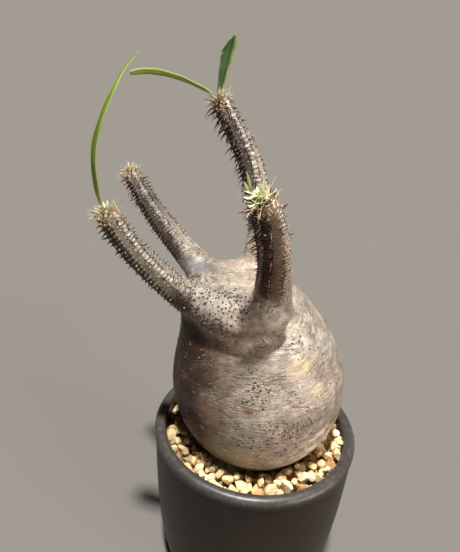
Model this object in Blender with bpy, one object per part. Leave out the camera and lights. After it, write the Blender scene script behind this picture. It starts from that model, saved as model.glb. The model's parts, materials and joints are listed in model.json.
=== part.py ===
"""A potted Pachypodium gracilius: a flask-shaped caudex with four thorny arms and leaves at
their tips, rooted in gritty soil under a layer of pumice, in a dark round-lipped pot.

Metres, +Z up, origin in the middle of the pot's base. The photograph looks along +Y.
"""

import math
import random

import bmesh
import bpy
from mathutils import Euler, Matrix, Vector

MM = 0.001
GOLDEN_ANGLE = math.radians(137.508)
TWO_FIFTHS = math.radians(144)
GAP = 0.3 * MM

# Pot
POT_HEIGHT = 76 * MM
RIM_RADIUS = 45 * MM
LIP_THICKNESS = 5 * MM
WALL_THICKNESS = 4 * MM
WALL_ROUND = 2.1
FOOT_RADIUS = 33 * MM
FOOT_STEP = 3 * MM
FOOT_HEIGHT = 3 * MM
FOOT_ROUND = 2 * MM
FLOOR_THICKNESS = 6 * MM
FLOOR_CORNER_WIDTH = 3 * MM
FLOOR_CORNER_HEIGHT = 4 * MM
LIP_OVERHANG = 0.6 * MM
DRAIN_RADIUS = 4.5 * MM
DRAIN_CIRCLE = 16 * MM
DRAIN_COUNT = 3
DRAIN_SIDES = 20
GROOVE_WIDTH = 6 * MM
GROOVE_DEPTH = 2 * MM
TURNED_SIDES = 44

# Drain net, a square cut from a plastic mesh sheet
NET_THICKNESS = 1 * MM
NET_BAR = 2 * MM
NET_HOLE = 6 * MM
NET_HOLES_ACROSS = 5

# Soil and pumice
SOIL_TOP = 62 * MM
PUMICE_AT_WALL = 71.5 * MM
PUMICE_AT_CAUDEX = 69 * MM
CAUDEX_AT_PUMICE = 28 * MM
GRAIN_RADIUS = (1.9 * MM, 2.9 * MM)
GRAIN_BLOCK = 1.3
GRAIN_CORNERS = (0.75, 1.1)
GRAIN_SPACING = 3.5 * MM
GRAIN_STANDS_OUT = (-0.05, 0.55)
GRAIN_TRIES = 6000
ROOT_CLEARANCE = 0.5 * MM
ROOT_CUTTER_OVER_POT = 4 * MM
ROOT_CUTTER_SIDES = 32

# Caudex stations in mm, root to crown: height, radius, and the centre's x and y
CAUDEX = [
    (26, 1.5, 0, 2.4),
    (34, 4.5, 0, 2.4),
    (46, 8.5, 0, 2.4),
    (56, 12.5, 0, 2.4),
    (64, 20.5, 0, 2.4),
    (70, 26.8, 0, 2.4),
    (77, 31.6, 0, 2.2),
    (86, 35.2, -0.3, 1.8),
    (98, 36.9, -0.6, 1.2),
    (110, 35.6, -1.2, 0.6),
    (122, 31.8, -3.2, 0.0),
    (132, 27.8, -6.6, -0.4),
    (140, 23.4, -10.2, -0.6),
    (146, 17.0, -13.4, -0.6),
    (149, 9.0, -14.8, -0.4),
    (150, 1.0, -15.2, 0),
]
CAUDEX_SIDES = 96
CAUDEX_RINGS = 120

# Arm stations in mm, from inside the caudex to the growing tip: x, y, z and radius
ARMS = {
    "front_left": [
        (-14, -6, 128, 10.0),
        (-24.5, -9.5, 135.5, 8.0),
        (-35.7, -11, 142.8, 5.7),
        (-44.5, -11.3, 150, 4.9),
        (-52.3, -11.3, 158, 4.6),
        (-58, -11.2, 165.6, 4.3),
        (-61, -11, 170.6, 3.7),
    ],
    "back_left": [
        (-17, 4, 134, 10.0),
        (-26, 10, 141.3, 8.0),
        (-36, 17, 148.3, 5.7),
        (-45.1, 25, 155.2, 5.2),
        (-53.5, 31.2, 162.8, 4.7),
        (-60.6, 37, 170.6, 3.9),
        (-64.8, 40, 176, 3.3),
    ],
    "back_right": [
        (-6, 9, 138, 10.0),
        (-3.6, 13, 150, 8.0),
        (-4, 17, 160.4, 5.9),
        (-6.4, 21.5, 172, 5.5),
        (-11.4, 27.5, 186, 5.1),
        (-17.6, 31, 197, 4.5),
        (-22.8, 33, 204.8, 4.1),
        (-25.4, 34, 209.6, 3.6),
    ],
    "front_right": [
        (-2, -8, 124, 11.0),
        (-0.7, -14.5, 136.5, 8.8),
        (-0.6, -20, 148, 6.5),
        (-1.2, -24.2, 158, 5.7),
        (-2.6, -28.2, 166.8, 5.4),
        (-5, -32.6, 175.6, 5.1),
        (-7.0, -35.5, 181.2, 4.6),
        (-8.8, -37.6, 185.2, 3.9),
    ],
}
ARM_SIDES = 32
ARM_RINGS = 60
FORK_CENTRE = Vector((-14, 0, 142)) * MM
FORK_REACH = 34 * MM
FORK_SMOOTHING = 40
BARK_VOXEL = 1 * MM
BARK_FACES = 3200

# Spines, in pairs two fifths of a turn apart, so that they stand in five rows up each arm
PAIRS_PER_ARM = 44
SPINES_FROM = {"front_left": 0.3, "back_left": 0.47, "back_right": 0.32, "front_right": 0.42}
SPINES_TO = 0.985
PAIR_SPREAD = math.radians(19)
ROW_TWIST = math.radians(0.9)
SPINE_SHORTEST = 1.4 * MM
SPINE_LONGEST = {
    "front_left": 3.0 * MM,
    "back_left": 3.6 * MM,
    "back_right": 5.2 * MM,
    "front_right": 3.8 * MM,
}
SPINE_WEAR = 1.5
SPINE_RADIUS = 0.5 * MM
SPINE_SUNK = 1.2 * MM
SPINE_RISE = math.radians(6)
SPINE_SWAY = 0.2
SPINE_TO_LEAF = 1.6 * MM

# Tip tufts: a short green core with young leaves and pale bristles
CORE_BASE = 0.82
CORE_TOP_RADIUS = 1.7 * MM
CORE_HEIGHT = 1.5 * MM
CORE_WAIST = 0.5
CORE_SIDES = 12
TUFT_LEAVES = 8
TUFT_LEAF_LEAN = (0.35, 0.85)
TUFT_LEAF_LENGTH = (2.2 * MM, 3.6 * MM)
TUFT_LEAF_WIDTH = 1.7 * MM
TUFT_LEAF_THICKNESS = 0.7 * MM
TUFT_BRISTLES = 10
BRISTLE_RISE = (0.15, 0.8)
BRISTLE_LENGTH = (4.2 * MM, 6.0 * MM)
BRISTLE_RADIUS = 0.36 * MM
TUFT_TO_LEAF = 1.4 * MM

# Long leaves: route in mm from foot to tip, width, and the way the upper face looks
LEAVES = {
    "leaf_front_left": {
        "route": [
            (-62.1, -10.9, 172.5),
            (-63.0, -12.0, 178.4),
            (-63.0, -14.0, 187.0),
            (-61.7, -15.0, 195.0),
            (-58.8, -16.0, 202.7),
            (-55.7, -16.0, 209.2),
            (-52.4, -14.0, 215.9),
            (-48.2, -12.0, 221.5),
        ],
        "width": 2.9 * MM,
        "widest": 0.42,
        "upper": Vector((-0.72, -0.62, 0.3)),
        "tip": 0.1,
    },
    "leaf_back_right_arched": {
        "route": [
            (-28.6, 33.5, 210.9),
            (-30.6, 32.8, 212.0),
            (-35.2, 31.0, 213.9),
            (-41.2, 28.0, 215.9),
            (-48.4, 25.0, 217.2),
            (-53.6, 22.0, 217.2),
            (-58.6, 19.0, 216.2),
        ],
        "width": 3.2 * MM,
        "widest": 0.72,
        "upper": Vector((0.1, -0.25, 0.96)),
        "tip": 0.45,
    },
    "leaf_back_right_upright": {
        "route": [
            (-26.2, 34.5, 211.6),
            (-25.2, 34.0, 215.0),
            (-24.4, 33.0, 220.2),
            (-23.0, 31.0, 227.2),
            (-21.4, 28.0, 233.4),
        ],
        "width": 4.9 * MM,
        "widest": 0.74,
        "upper": Vector((0.25, -0.95, -0.2)),
        "tip": 0.12,
    },
}
LEAF_THICKNESS = 0.7 * MM
LEAF_FOOT_WIDTH = 1.2 * MM
LEAF_FOLD = 0.22
LEAF_RINGS = 14


def material(name, colour, roughness, metallic=0.0):
    """A plain Principled finish."""
    finish = bpy.data.materials.new(name)
    finish.use_nodes = True
    shader = finish.node_tree.nodes["Principled BSDF"]
    shader.inputs["Base Color"].default_value = (*colour, 1)
    shader.inputs["Roughness"].default_value = roughness
    shader.inputs["Metallic"].default_value = metallic
    return finish


def add_object(name, bm, finish=None, smooth=True):
    """Links a bmesh to the scene as a named object, its faces turned outwards."""
    bmesh.ops.recalc_face_normals(bm, faces=bm.faces)
    mesh = bpy.data.meshes.new(name)
    bm.to_mesh(mesh)
    bm.free()
    obj = bpy.data.objects.new(name, mesh)
    bpy.context.scene.collection.objects.link(obj)
    if finish:
        mesh.materials.append(finish)
    if smooth:
        shade_round(obj)
    return obj


def shade_round(obj):
    obj.data.shade_smooth()
    obj.data.set_sharp_from_angle(angle=math.radians(35))


def apply_modifiers(obj):
    """Replaces an object's mesh by what its modifiers make of it."""
    graph = bpy.context.evaluated_depsgraph_get()
    mesh = bpy.data.meshes.new_from_object(obj.evaluated_get(graph))
    obj.modifiers.clear()
    obj.data = mesh


def boolean(obj, operation, cutter):
    cut = obj.modifiers.new(operation.lower(), "BOOLEAN")
    cut.operation = operation
    cut.object = cutter
    cutter.hide_render = True
    cutter.display_type = "WIRE"


def fuse(target, pieces):
    """Joins closed pieces onto a target by one union, then removes them."""
    group = bpy.data.collections.new(f"{target.name}_pieces")
    bpy.context.scene.collection.children.link(group)
    for piece in pieces:
        group.objects.link(piece)
    union = target.modifiers.new("fused", "BOOLEAN")
    union.operation = "UNION"
    union.operand_type = "COLLECTION"
    union.collection = group
    union.solver = "MANIFOLD"
    apply_modifiers(target)
    for piece in pieces:
        bpy.data.objects.remove(piece)
    bpy.data.collections.remove(group)
    shade_round(target)


def smooth_curve(knots, count):
    """Points on a smooth curve through the knots, spaced evenly along it."""
    knots = [Vector(k) for k in knots]
    knots = [2 * knots[0] - knots[1], *knots, 2 * knots[-1] - knots[-2]]
    fine = []
    steps = 24
    for a, b, c, d in zip(knots, knots[1:], knots[2:], knots[3:]):
        for i in range(steps):
            t = i / steps
            bend = (2 * a - 5 * b + 4 * c - d) * t**2 + (3 * b - a - 3 * c + d) * t**3
            fine.append(0.5 * (2 * b + (c - a) * t + bend))
    fine.append(knots[-2])
    along = [0.0]
    for a, b in zip(fine, fine[1:]):
        along.append(along[-1] + (b - a).length)
    points = []
    j = 0
    for i in range(count):
        target = along[-1] * i / (count - 1)
        while j < len(fine) - 2 and along[j + 1] < target:
            j += 1
        share = (target - along[j]) / (along[j + 1] - along[j])
        points.append(fine[j].lerp(fine[j + 1], min(max(share, 0), 1)))
    return points


def frames_along(points):
    """(tangent, side, across) at each point, turning as little as possible."""
    tangents = []
    for i in range(len(points)):
        before, after = points[max(i - 1, 0)], points[min(i + 1, len(points) - 1)]
        tangents.append((after - before).normalized())
    side = tangents[0].orthogonal().normalized()
    frames = []
    for tangent in tangents:
        side = (side - tangent * side.dot(tangent)).normalized()
        frames.append((tangent, side, tangent.cross(side)))
    return frames


def loft(bm, rings):
    """Joins rings of points, all of one length, and closes both ends with a fan."""
    loops = [[bm.verts.new(p) for p in ring] for ring in rings]
    sides = len(loops[0])
    for low, high in zip(loops, loops[1:]):
        for i in range(sides):
            j = (i + 1) % sides
            bm.faces.new((low[i], low[j], high[j], high[i]))
    for loop in (loops[0], loops[-1]):
        middle = bm.verts.new(sum((v.co for v in loop), Vector()) / sides)
        for i in range(sides):
            bm.faces.new((loop[i], loop[(i + 1) % sides], middle))


def circle(centre, side, across, radius, sides):
    """A ring of points round a centre, in the plane of two unit vectors."""
    turns = [2 * math.pi * i / sides for i in range(sides)]
    return [centre + radius * (side * math.cos(a) + across * math.sin(a)) for a in turns]


def turned(profile, centre=(0, 0), sides=TURNED_SIDES):
    """A solid turned about Z from a closed profile of (radius, height) points."""
    bm = bmesh.new()
    columns = []
    for k in range(sides):
        c, s = math.cos(2 * math.pi * k / sides), math.sin(2 * math.pi * k / sides)
        points = [(centre[0] + r * c, centre[1] + r * s, z) for r, z in profile]
        columns.append([bm.verts.new(p) for p in points])
    for here, there in zip(columns, columns[1:] + columns[:1]):
        for i in range(len(profile)):
            j = (i + 1) % len(profile)
            if max(profile[i][0], profile[j][0]) > 0:
                bm.faces.new((here[i], there[i], there[j], here[j]))
    bmesh.ops.remove_doubles(bm, verts=bm.verts, dist=1e-6)
    return bm


def arc(centre, radius, start, end, count):
    """Points of a profile's round stretch, angles in degrees."""
    turns = [math.radians(start + (end - start) * i / (count - 1)) for i in range(count)]
    return [(centre[0] + radius * math.cos(a), centre[1] + radius * math.sin(a)) for a in turns]


def spread(low, high, count):
    return [low + (high - low) * i / (count - 1) for i in range(count)]


def wall_radius(height):
    """The pot's outer radius: a cup that rounds in towards its foot."""
    share = min(max((height - FOOT_HEIGHT) / (POT_HEIGHT - FOOT_HEIGHT), 0), 1)
    bottom = FOOT_RADIUS + FOOT_STEP
    top = RIM_RADIUS - LIP_OVERHANG
    return bottom + (top - bottom) * (1 - (1 - share) ** WALL_ROUND) ** (1 / WALL_ROUND)


def inside_of_pot(clearance=0.0):
    """The pot's inner wall, (radius, height) from the floor's edge to under the lip."""
    corner = FLOOR_THICKNESS + FLOOR_CORNER_HEIGHT
    heights = spread(corner, POT_HEIGHT - LIP_THICKNESS, 6)
    wall = [(wall_radius(h) - WALL_THICKNESS - clearance, h) for h in heights]
    floor_edge = (wall[0][0] - FLOOR_CORNER_WIDTH, FLOOR_THICKNESS + clearance)
    return [floor_edge, *wall]


def radius_at(profile, height):
    """A profile's radius at a height, straight between its points."""
    for (r0, z0), (r1, z1) in zip(profile, profile[1:]):
        if z0 <= height <= z1:
            return r0 + (r1 - r0) * (height - z0) / (z1 - z0)
    return profile[-1][0]


def make_pot(finish):
    """Foot, floor, curved wall and rounded lip, with drain holes and a groove from each."""
    lip = LIP_THICKNESS / 2
    lip_centre = (RIM_RADIUS - lip, POT_HEIGHT - lip)
    outer_heights = spread(FOOT_HEIGHT + FOOT_ROUND, POT_HEIGHT - LIP_THICKNESS, 7)
    profile = [
        (0, 0),
        (FOOT_RADIUS, 0),
        (FOOT_RADIUS, FOOT_HEIGHT),
        *[(wall_radius(h), h) for h in outer_heights],
        *arc(lip_centre, lip, -20, 200, 7),
        *reversed(inside_of_pot()),
        (0, FLOOR_THICKNESS),
    ]
    pot = add_object("pot", turned(profile), finish)
    for k in range(DRAIN_COUNT):
        turn = Matrix.Rotation(2 * math.pi * (k + 0.25) / DRAIN_COUNT, 4, "Z")
        hole = bmesh.new()
        bmesh.ops.create_cone(
            hole,
            cap_ends=True,
            segments=DRAIN_SIDES,
            radius1=DRAIN_RADIUS,
            radius2=DRAIN_RADIUS,
            depth=4 * FLOOR_THICKNESS,
            matrix=turn @ Matrix.Translation((DRAIN_CIRCLE, 0, 0)),
        )
        boolean(pot, "DIFFERENCE", add_object(f"drain_cutter_{k}", hole))
        size = Matrix.Diagonal((FOOT_RADIUS, GROOVE_WIDTH, 2 * GROOVE_DEPTH, 1))
        place = turn @ Matrix.Translation((DRAIN_CIRCLE + FOOT_RADIUS / 2, 0, 0)) @ size
        groove = bmesh.new()
        bmesh.ops.create_cube(groove, size=1, matrix=place)
        boolean(pot, "DIFFERENCE", add_object(f"groove_cutter_{k}", groove))
    return pot


def make_net(finish):
    """The square of plastic mesh that keeps the soil off the drain holes, and its reach."""
    pitch = NET_BAR + NET_HOLE
    lines = [0.0]
    for _ in range(NET_HOLES_ACROSS):
        lines += [lines[-1] + NET_BAR, lines[-1] + pitch]
    lines.append(lines[-1] + NET_BAR)
    half = lines[-1] / 2
    bottom = FLOOR_THICKNESS + GAP
    bm = bmesh.new()
    grid = [[bm.verts.new((x - half, y - half, bottom)) for y in lines] for x in lines]
    for i in range(len(lines) - 1):
        for j in range(len(lines) - 1):
            if i % 2 == 0 or j % 2 == 0:
                corners = (grid[i][j], grid[i + 1][j], grid[i + 1][j + 1], grid[i][j + 1])
                bm.faces.new(corners)
    raised = bmesh.ops.extrude_face_region(bm, geom=list(bm.faces))
    top = [v for v in raised["geom"] if isinstance(v, bmesh.types.BMVert)]
    bmesh.ops.translate(bm, vec=(0, 0, NET_THICKNESS), verts=top)
    return add_object("drain_net", bm, finish, smooth=False), half * math.sqrt(2)


def caudex_rings():
    """Smooth stations up the caudex, in metres: (x, y, z, radius)."""
    stations = [Vector((x, y, z, r)) * MM for z, r, x, y in CAUDEX]
    return smooth_curve(stations, CAUDEX_RINGS)


def make_root_cutter():
    """The room that the buried base takes in the soil and the pumice."""
    rings = [p for p in caudex_rings() if p.z < POT_HEIGHT + ROOT_CUTTER_OVER_POT]
    centre = (rings[0].x, rings[0].y)
    wall = [(p.w + ROOT_CLEARANCE, p.z) for p in rings[::6]]
    bottom = (0, rings[0].z - ROOT_CLEARANCE)
    top = POT_HEIGHT * 2
    bm = turned([bottom, *wall, (wall[-1][0], top), (0, top)], centre, ROOT_CUTTER_SIDES)
    return add_object("root_cutter", bm), [(r, z) for r, z in wall], Vector((*centre, 0))


def make_soil(finish, root_cutter, net_radius):
    """The soil, from the floor and the net up to the pumice, with the root's pocket."""
    wall = [p for p in inside_of_pot(GAP) if p[1] < SOIL_TOP]
    over_net = FLOOR_THICKNESS + GAP + NET_THICKNESS + GAP
    profile = [
        (0, over_net),
        (net_radius + GAP, over_net),
        *[(r, max(z, over_net)) for r, z in wall[:1]],
        *wall[1:],
        (radius_at(inside_of_pot(GAP), SOIL_TOP), SOIL_TOP),
        (0, SOIL_TOP),
    ]
    soil = add_object("soil", turned(profile), finish)
    boolean(soil, "DIFFERENCE", root_cutter)
    return soil


def make_grain(rng, name, centre, radius):
    """An irregular broken grain: a block with its corners pushed about."""
    bm = bmesh.new()
    bmesh.ops.create_cube(bm, size=GRAIN_BLOCK * radius)
    turn = Euler([rng.uniform(0, 2 * math.pi) for _ in range(3)]).to_matrix()
    for v in bm.verts:
        v.co = turn @ (v.co * rng.uniform(*GRAIN_CORNERS)) + centre
    bmesh.ops.triangulate(bm, faces=bm.faces)
    return add_object(name, bm, smooth=False)


def make_pumice(finish, root_cutter, root_wall, root_centre):
    """A bed of pumice between the caudex and the pot, covered with loose-looking grains."""
    rng = random.Random(11)
    corner_reach = GRAIN_CORNERS[1] * GRAIN_BLOCK * math.sqrt(3) / 2
    wall = inside_of_pot(GAP)
    bottom = SOIL_TOP + GAP
    profile = [
        (0, bottom),
        (radius_at(wall, bottom), bottom),
        (radius_at(wall, PUMICE_AT_WALL), PUMICE_AT_WALL),
        (CAUDEX_AT_PUMICE, PUMICE_AT_CAUDEX),
        (0, PUMICE_AT_CAUDEX),
    ]
    pumice = add_object("pumice", turned(profile), finish)
    boolean(pumice, "DIFFERENCE", root_cutter)
    apply_modifiers(pumice)
    placed = []
    grains = []
    for _ in range(GRAIN_TRIES):
        radius = rng.uniform(*GRAIN_RADIUS)
        turn = rng.uniform(0, 2 * math.pi)
        out = RIM_RADIUS * math.sqrt(rng.random())
        share = max(0, (out - CAUDEX_AT_PUMICE) / (RIM_RADIUS - CAUDEX_AT_PUMICE))
        bed = PUMICE_AT_CAUDEX + share * (PUMICE_AT_WALL - PUMICE_AT_CAUDEX)
        height = bed + radius * rng.uniform(*GRAIN_STANDS_OUT)
        centre = Vector((out * math.cos(turn), out * math.sin(turn), height))
        reach = corner_reach * radius
        from_root = (centre.xy - root_centre.xy).length
        if out > radius_at(wall, height) - reach:
            continue
        if from_root < radius_at(root_wall, height + radius) + reach:
            continue
        if any((centre.xy - other.xy).length < GRAIN_SPACING for other in placed):
            continue
        placed.append(centre)
        grains.append(make_grain(rng, f"grain_{len(placed)}", centre, radius))
    fuse(pumice, grains)
    return pumice


def arm_path(name, rings=ARM_RINGS):
    """Evenly spaced (point, radius) up an arm, in metres."""
    points = smooth_curve([Vector(s) * MM for s in ARMS[name]], rings)
    return [(p.xyz, p.w) for p in points]


def make_bark():
    """Caudex and arms as one skin, the fork between the arms rounded off."""
    bm = bmesh.new()
    x_axis, y_axis = Vector((1, 0, 0)), Vector((0, 1, 0))
    rings = [circle(p.xyz, x_axis, y_axis, p.w, CAUDEX_SIDES) for p in caudex_rings()]
    loft(bm, rings)
    for name in ARMS:
        path = arm_path(name)
        frames = frames_along([p for p, _ in path])
        rings = [
            circle(p, side, across, r, ARM_SIDES)
            for (p, r), (_, side, across) in zip(path, frames)
        ]
        loft(bm, rings)
    bark = add_object("caudex", bm)
    skin = bark.modifiers.new("skin", "REMESH")
    skin.mode = "VOXEL"
    skin.voxel_size = BARK_VOXEL
    apply_modifiers(bark)
    fork = bark.vertex_groups.new(name="fork")
    for v in bark.data.vertices:
        near = 1 - (v.co - FORK_CENTRE).length / FORK_REACH
        if near > 0:
            fork.add([v.index], min(1, 2.5 * near), "REPLACE")
    fair = bark.modifiers.new("fair", "SMOOTH")
    fair.factor = 0.5
    fair.iterations = FORK_SMOOTHING
    fair.vertex_group = fork.name
    thin = bark.modifiers.new("thin", "DECIMATE")
    thin.ratio = BARK_FACES / (2 * len(bark.data.polygons))
    apply_modifiers(bark)
    return bark


def make_spike(name, root, direction, length, radius):
    """A three-sided spike on a root."""
    bm = bmesh.new()
    side = direction.orthogonal().normalized()
    base = circle(root, side, direction.cross(side), radius, 3)
    corners = [bm.verts.new(p) for p in base]
    tip = bm.verts.new(root + direction * length)
    bm.faces.new(corners)
    for a, b in zip(corners, corners[1:] + corners[:1]):
        bm.faces.new((a, b, tip))
    return add_object(name, bm, smooth=False)


def near_leaf(point, reach):
    """Whether a long leaf runs within reach of a point."""
    for leaf in LEAVES.values():
        route = smooth_curve([Vector(p) * MM for p in leaf["route"]], 40)
        if any((point - p).length < reach for p in route):
            return True
    return False


def arm_spines(name, rng):
    """Pairs of spines up an arm, long near its tip and worn short further down."""
    fine = 400
    path = arm_path(name, fine)
    frames = frames_along([p for p, _ in path])
    start, longest = SPINES_FROM[name], SPINE_LONGEST[name]
    spikes = []
    for k in range(PAIRS_PER_ARM):
        height = (k + 0.5) / PAIRS_PER_ARM
        usual = SPINE_SHORTEST + (longest - SPINE_SHORTEST) * height**SPINE_WEAR
        at = int((start + (SPINES_TO - start) * height) * (fine - 1))
        (point, radius), (tangent, side, across) = path[at], frames[at]
        turn = k * (TWO_FIFTHS + ROW_TWIST)
        for lean in (-PAIR_SPREAD, PAIR_SPREAD):
            out = side * math.cos(turn + lean) + across * math.sin(turn + lean)
            rise = SPINE_RISE + rng.uniform(-SPINE_SWAY, SPINE_SWAY)
            direction = (out * math.cos(rise) + tangent * math.sin(rise)).normalized()
            length = usual * rng.uniform(0.85, 1.15)
            root = point + out * (radius - SPINE_SUNK)
            if near_leaf(root + direction * (length + SPINE_SUNK), SPINE_TO_LEAF):
                continue
            label = f"spine_{name}_{len(spikes)}"
            spikes.append(make_spike(label, root, direction, length + SPINE_SUNK, SPINE_RADIUS))
    return spikes


def make_caudex(finish):
    """The grown body: bark with its spines."""
    rng = random.Random(5)
    caudex = make_bark()
    caudex.data.materials.append(finish)
    spikes = []
    for name in ARMS:
        spikes += arm_spines(name, rng)
    fuse(caudex, spikes)
    return caudex


def blade_section(point, across, up, width, thickness):
    """Six points round a blade that is folded a little along its middle."""
    half = across * width / 2
    fold = -up * LEAF_FOLD * width / 2
    lift = up * thickness / 2
    return [
        point - half - lift * 0.5,
        point + fold - lift,
        point + half - lift * 0.5,
        point + half + lift * 0.5,
        point + fold + lift,
        point - half + lift * 0.5,
    ]


def young_section(point, across, up, width, thickness):
    """Four points round a small blade."""
    half = across * width / 2
    lift = up * thickness / 2
    return [point - half, point - lift, point + half, point + lift]


def make_blade(name, route, upper, width_at, thickness, section, rings, finish=None):
    """A leaf along a route, its upper face turned the given way."""
    bm = bmesh.new()
    points = smooth_curve(route, rings)
    sections = []
    for i, (tangent, _, _) in enumerate(frames_along(points)):
        across = tangent.cross(upper).normalized()
        up = across.cross(tangent)
        width = width_at(i / (rings - 1))
        sections.append(section(points[i], across, up, width, thickness))
    loft(bm, sections)
    return add_object(name, bm, finish)


def young_width(t):
    """A young leaf's width along its length: full in the middle, narrow at the tip."""
    return TUFT_LEAF_WIDTH * (0.75 + 0.5 * t if t < 0.5 else 1.9 * (1.03 - t))


def make_tuft(name, finish):
    """The growing tip of an arm: a core, young leaves round it and bristles below them."""
    rng = random.Random(name)
    path = arm_path(name)
    (tip, radius), before = path[-1], path[-4][0]
    axis = (tip - before).normalized()
    side = axis.orthogonal().normalized()
    across = axis.cross(side)
    foot = tip + axis * GAP
    top = foot + axis * CORE_HEIGHT
    waist = foot + axis * CORE_HEIGHT * CORE_WAIST
    bm = bmesh.new()
    loft(
        bm,
        [
            circle(foot, side, across, CORE_BASE * radius, CORE_SIDES),
            circle(waist, side, across, CORE_BASE * radius, CORE_SIDES),
            circle(top, side, across, CORE_TOP_RADIUS, CORE_SIDES),
        ],
    )
    tuft = add_object(f"tuft_{name}", bm, finish)
    pieces = []
    for k in range(TUFT_LEAVES):
        turn = k * GOLDEN_ANGLE
        out = side * math.cos(turn) + across * math.sin(turn)
        length = rng.uniform(*TUFT_LEAF_LENGTH)
        lean = rng.uniform(*TUFT_LEAF_LEAN)
        start = waist + out * CORE_TOP_RADIUS * 0.9
        bend = start + (axis + out * lean).normalized() * length * 0.55
        end = bend + (axis + out * lean * 0.3).normalized() * length * 0.45
        if near_leaf(end, TUFT_TO_LEAF) or near_leaf(bend, TUFT_TO_LEAF):
            continue
        pieces.append(
            make_blade(
                f"{name}_young_leaf_{k}",
                [start, bend, end],
                axis - out * 0.8,
                young_width,
                TUFT_LEAF_THICKNESS,
                young_section,
                4,
            )
        )
    for k in range(TUFT_BRISTLES):
        turn = (k + 0.5) * 2 * math.pi / TUFT_BRISTLES + rng.uniform(-0.15, 0.15)
        out = side * math.cos(turn) + across * math.sin(turn)
        rise = rng.uniform(*BRISTLE_RISE)
        direction = (out * math.cos(rise) + axis * math.sin(rise)).normalized()
        root = waist + out * CORE_TOP_RADIUS * 0.7
        length = rng.uniform(*BRISTLE_LENGTH)
        if near_leaf(root + direction * length, TUFT_TO_LEAF):
            continue
        pieces.append(make_spike(f"{name}_bristle_{k}", root, direction, length, BRISTLE_RADIUS))
    fuse(tuft, pieces)
    return tuft


def make_leaf(name, finish):
    """A long leaf: narrow foot, widest part and tip as measured."""
    leaf = LEAVES[name]
    widest, tip = leaf["widest"], leaf["tip"]

    def width_at(t):
        if t < widest:
            share = math.sin(math.pi / 2 * t / widest)
            return LEAF_FOOT_WIDTH + (leaf["width"] - LEAF_FOOT_WIDTH) * share
        share = (t - widest) / (1 - widest)
        return leaf["width"] * (tip + (1 - tip) * math.cos(math.pi / 2 * share) ** 0.8)

    route = [Vector(p) * MM for p in leaf["route"]]
    return make_blade(
        name, route, leaf["upper"], width_at, LEAF_THICKNESS, blade_section, LEAF_RINGS, finish
    )


def main():
    for obj in list(bpy.data.objects):
        bpy.data.objects.remove(obj)
    pot_glaze = material("pot_glaze", (0.045, 0.05, 0.056), 0.4)
    net_plastic = material("net_plastic", (0.02, 0.02, 0.02), 0.5)
    soil_mix = material("soil_mix", (0.12, 0.085, 0.055), 0.95)
    pumice_stone = material("pumice_stone", (0.66, 0.55, 0.36), 0.9)
    bark = material("bark", (0.36, 0.32, 0.28), 0.62)
    young_green = material("young_green", (0.55, 0.56, 0.3), 0.6)
    leaf_green = material("leaf_green", (0.13, 0.27, 0.07), 0.45)

    make_pot(pot_glaze)
    _, net_radius = make_net(net_plastic)
    root_cutter, root_wall, root_centre = make_root_cutter()
    make_soil(soil_mix, root_cutter, net_radius)
    make_pumice(pumice_stone, root_cutter, root_wall, root_centre)
    make_caudex(bark)
    for name in ARMS:
        make_tuft(name, young_green)
    for name in LEAVES:
        make_leaf(name, leaf_green)


main()
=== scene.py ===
import functools
import json
import math
import random

import bpy
import numpy as np
from mathutils import Matrix, Vector, noise
from mathutils.bvhtree import BVHTree

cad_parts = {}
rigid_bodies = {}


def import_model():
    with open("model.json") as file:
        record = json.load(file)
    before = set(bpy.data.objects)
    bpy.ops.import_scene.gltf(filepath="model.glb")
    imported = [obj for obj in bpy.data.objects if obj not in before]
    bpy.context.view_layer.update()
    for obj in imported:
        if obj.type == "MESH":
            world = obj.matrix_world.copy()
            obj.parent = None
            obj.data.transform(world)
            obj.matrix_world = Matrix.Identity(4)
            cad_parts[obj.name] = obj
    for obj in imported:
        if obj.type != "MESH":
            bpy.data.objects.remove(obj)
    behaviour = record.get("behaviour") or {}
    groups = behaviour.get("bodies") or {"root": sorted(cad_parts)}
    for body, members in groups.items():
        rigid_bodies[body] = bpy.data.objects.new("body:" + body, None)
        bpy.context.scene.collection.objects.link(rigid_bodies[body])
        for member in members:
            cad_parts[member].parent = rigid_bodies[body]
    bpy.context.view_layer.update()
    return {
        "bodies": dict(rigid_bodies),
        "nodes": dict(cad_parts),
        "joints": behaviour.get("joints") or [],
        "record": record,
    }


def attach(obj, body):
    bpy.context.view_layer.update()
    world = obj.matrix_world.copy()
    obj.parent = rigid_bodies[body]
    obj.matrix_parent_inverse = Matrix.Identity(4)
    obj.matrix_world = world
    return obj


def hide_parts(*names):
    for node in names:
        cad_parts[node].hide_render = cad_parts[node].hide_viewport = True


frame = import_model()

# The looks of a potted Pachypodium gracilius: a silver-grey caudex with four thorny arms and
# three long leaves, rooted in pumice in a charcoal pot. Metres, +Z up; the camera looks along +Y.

MM = 0.001
TWO_FIFTHS = math.radians(144)
FIFTH = math.radians(72)

# Pot: a cup with a rolled lip, a stepped foot, and drain holes with grooves out from them
POT_HEIGHT = 76 * MM
RIM_RADIUS = 45 * MM
LIP_RADIUS = 2.5 * MM
LIP_OVERHANG = 0.6 * MM
WALL_THICKNESS = 4 * MM
WALL_ROUND = 2.1
WALL_RISES = [rise * MM for rise in (0.0, 0.1, 0.3, 0.7, 1.3, 2.0, 3.2, 4.8)]
LIP_FROM = 71 * MM
FOOT_RADIUS = 33 * MM
FOOT_STEP = 3 * MM
FOOT_HEIGHT = 3 * MM
FOOT_EDGE = 0.6 * MM
FLOOR_THICKNESS = 6 * MM
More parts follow.
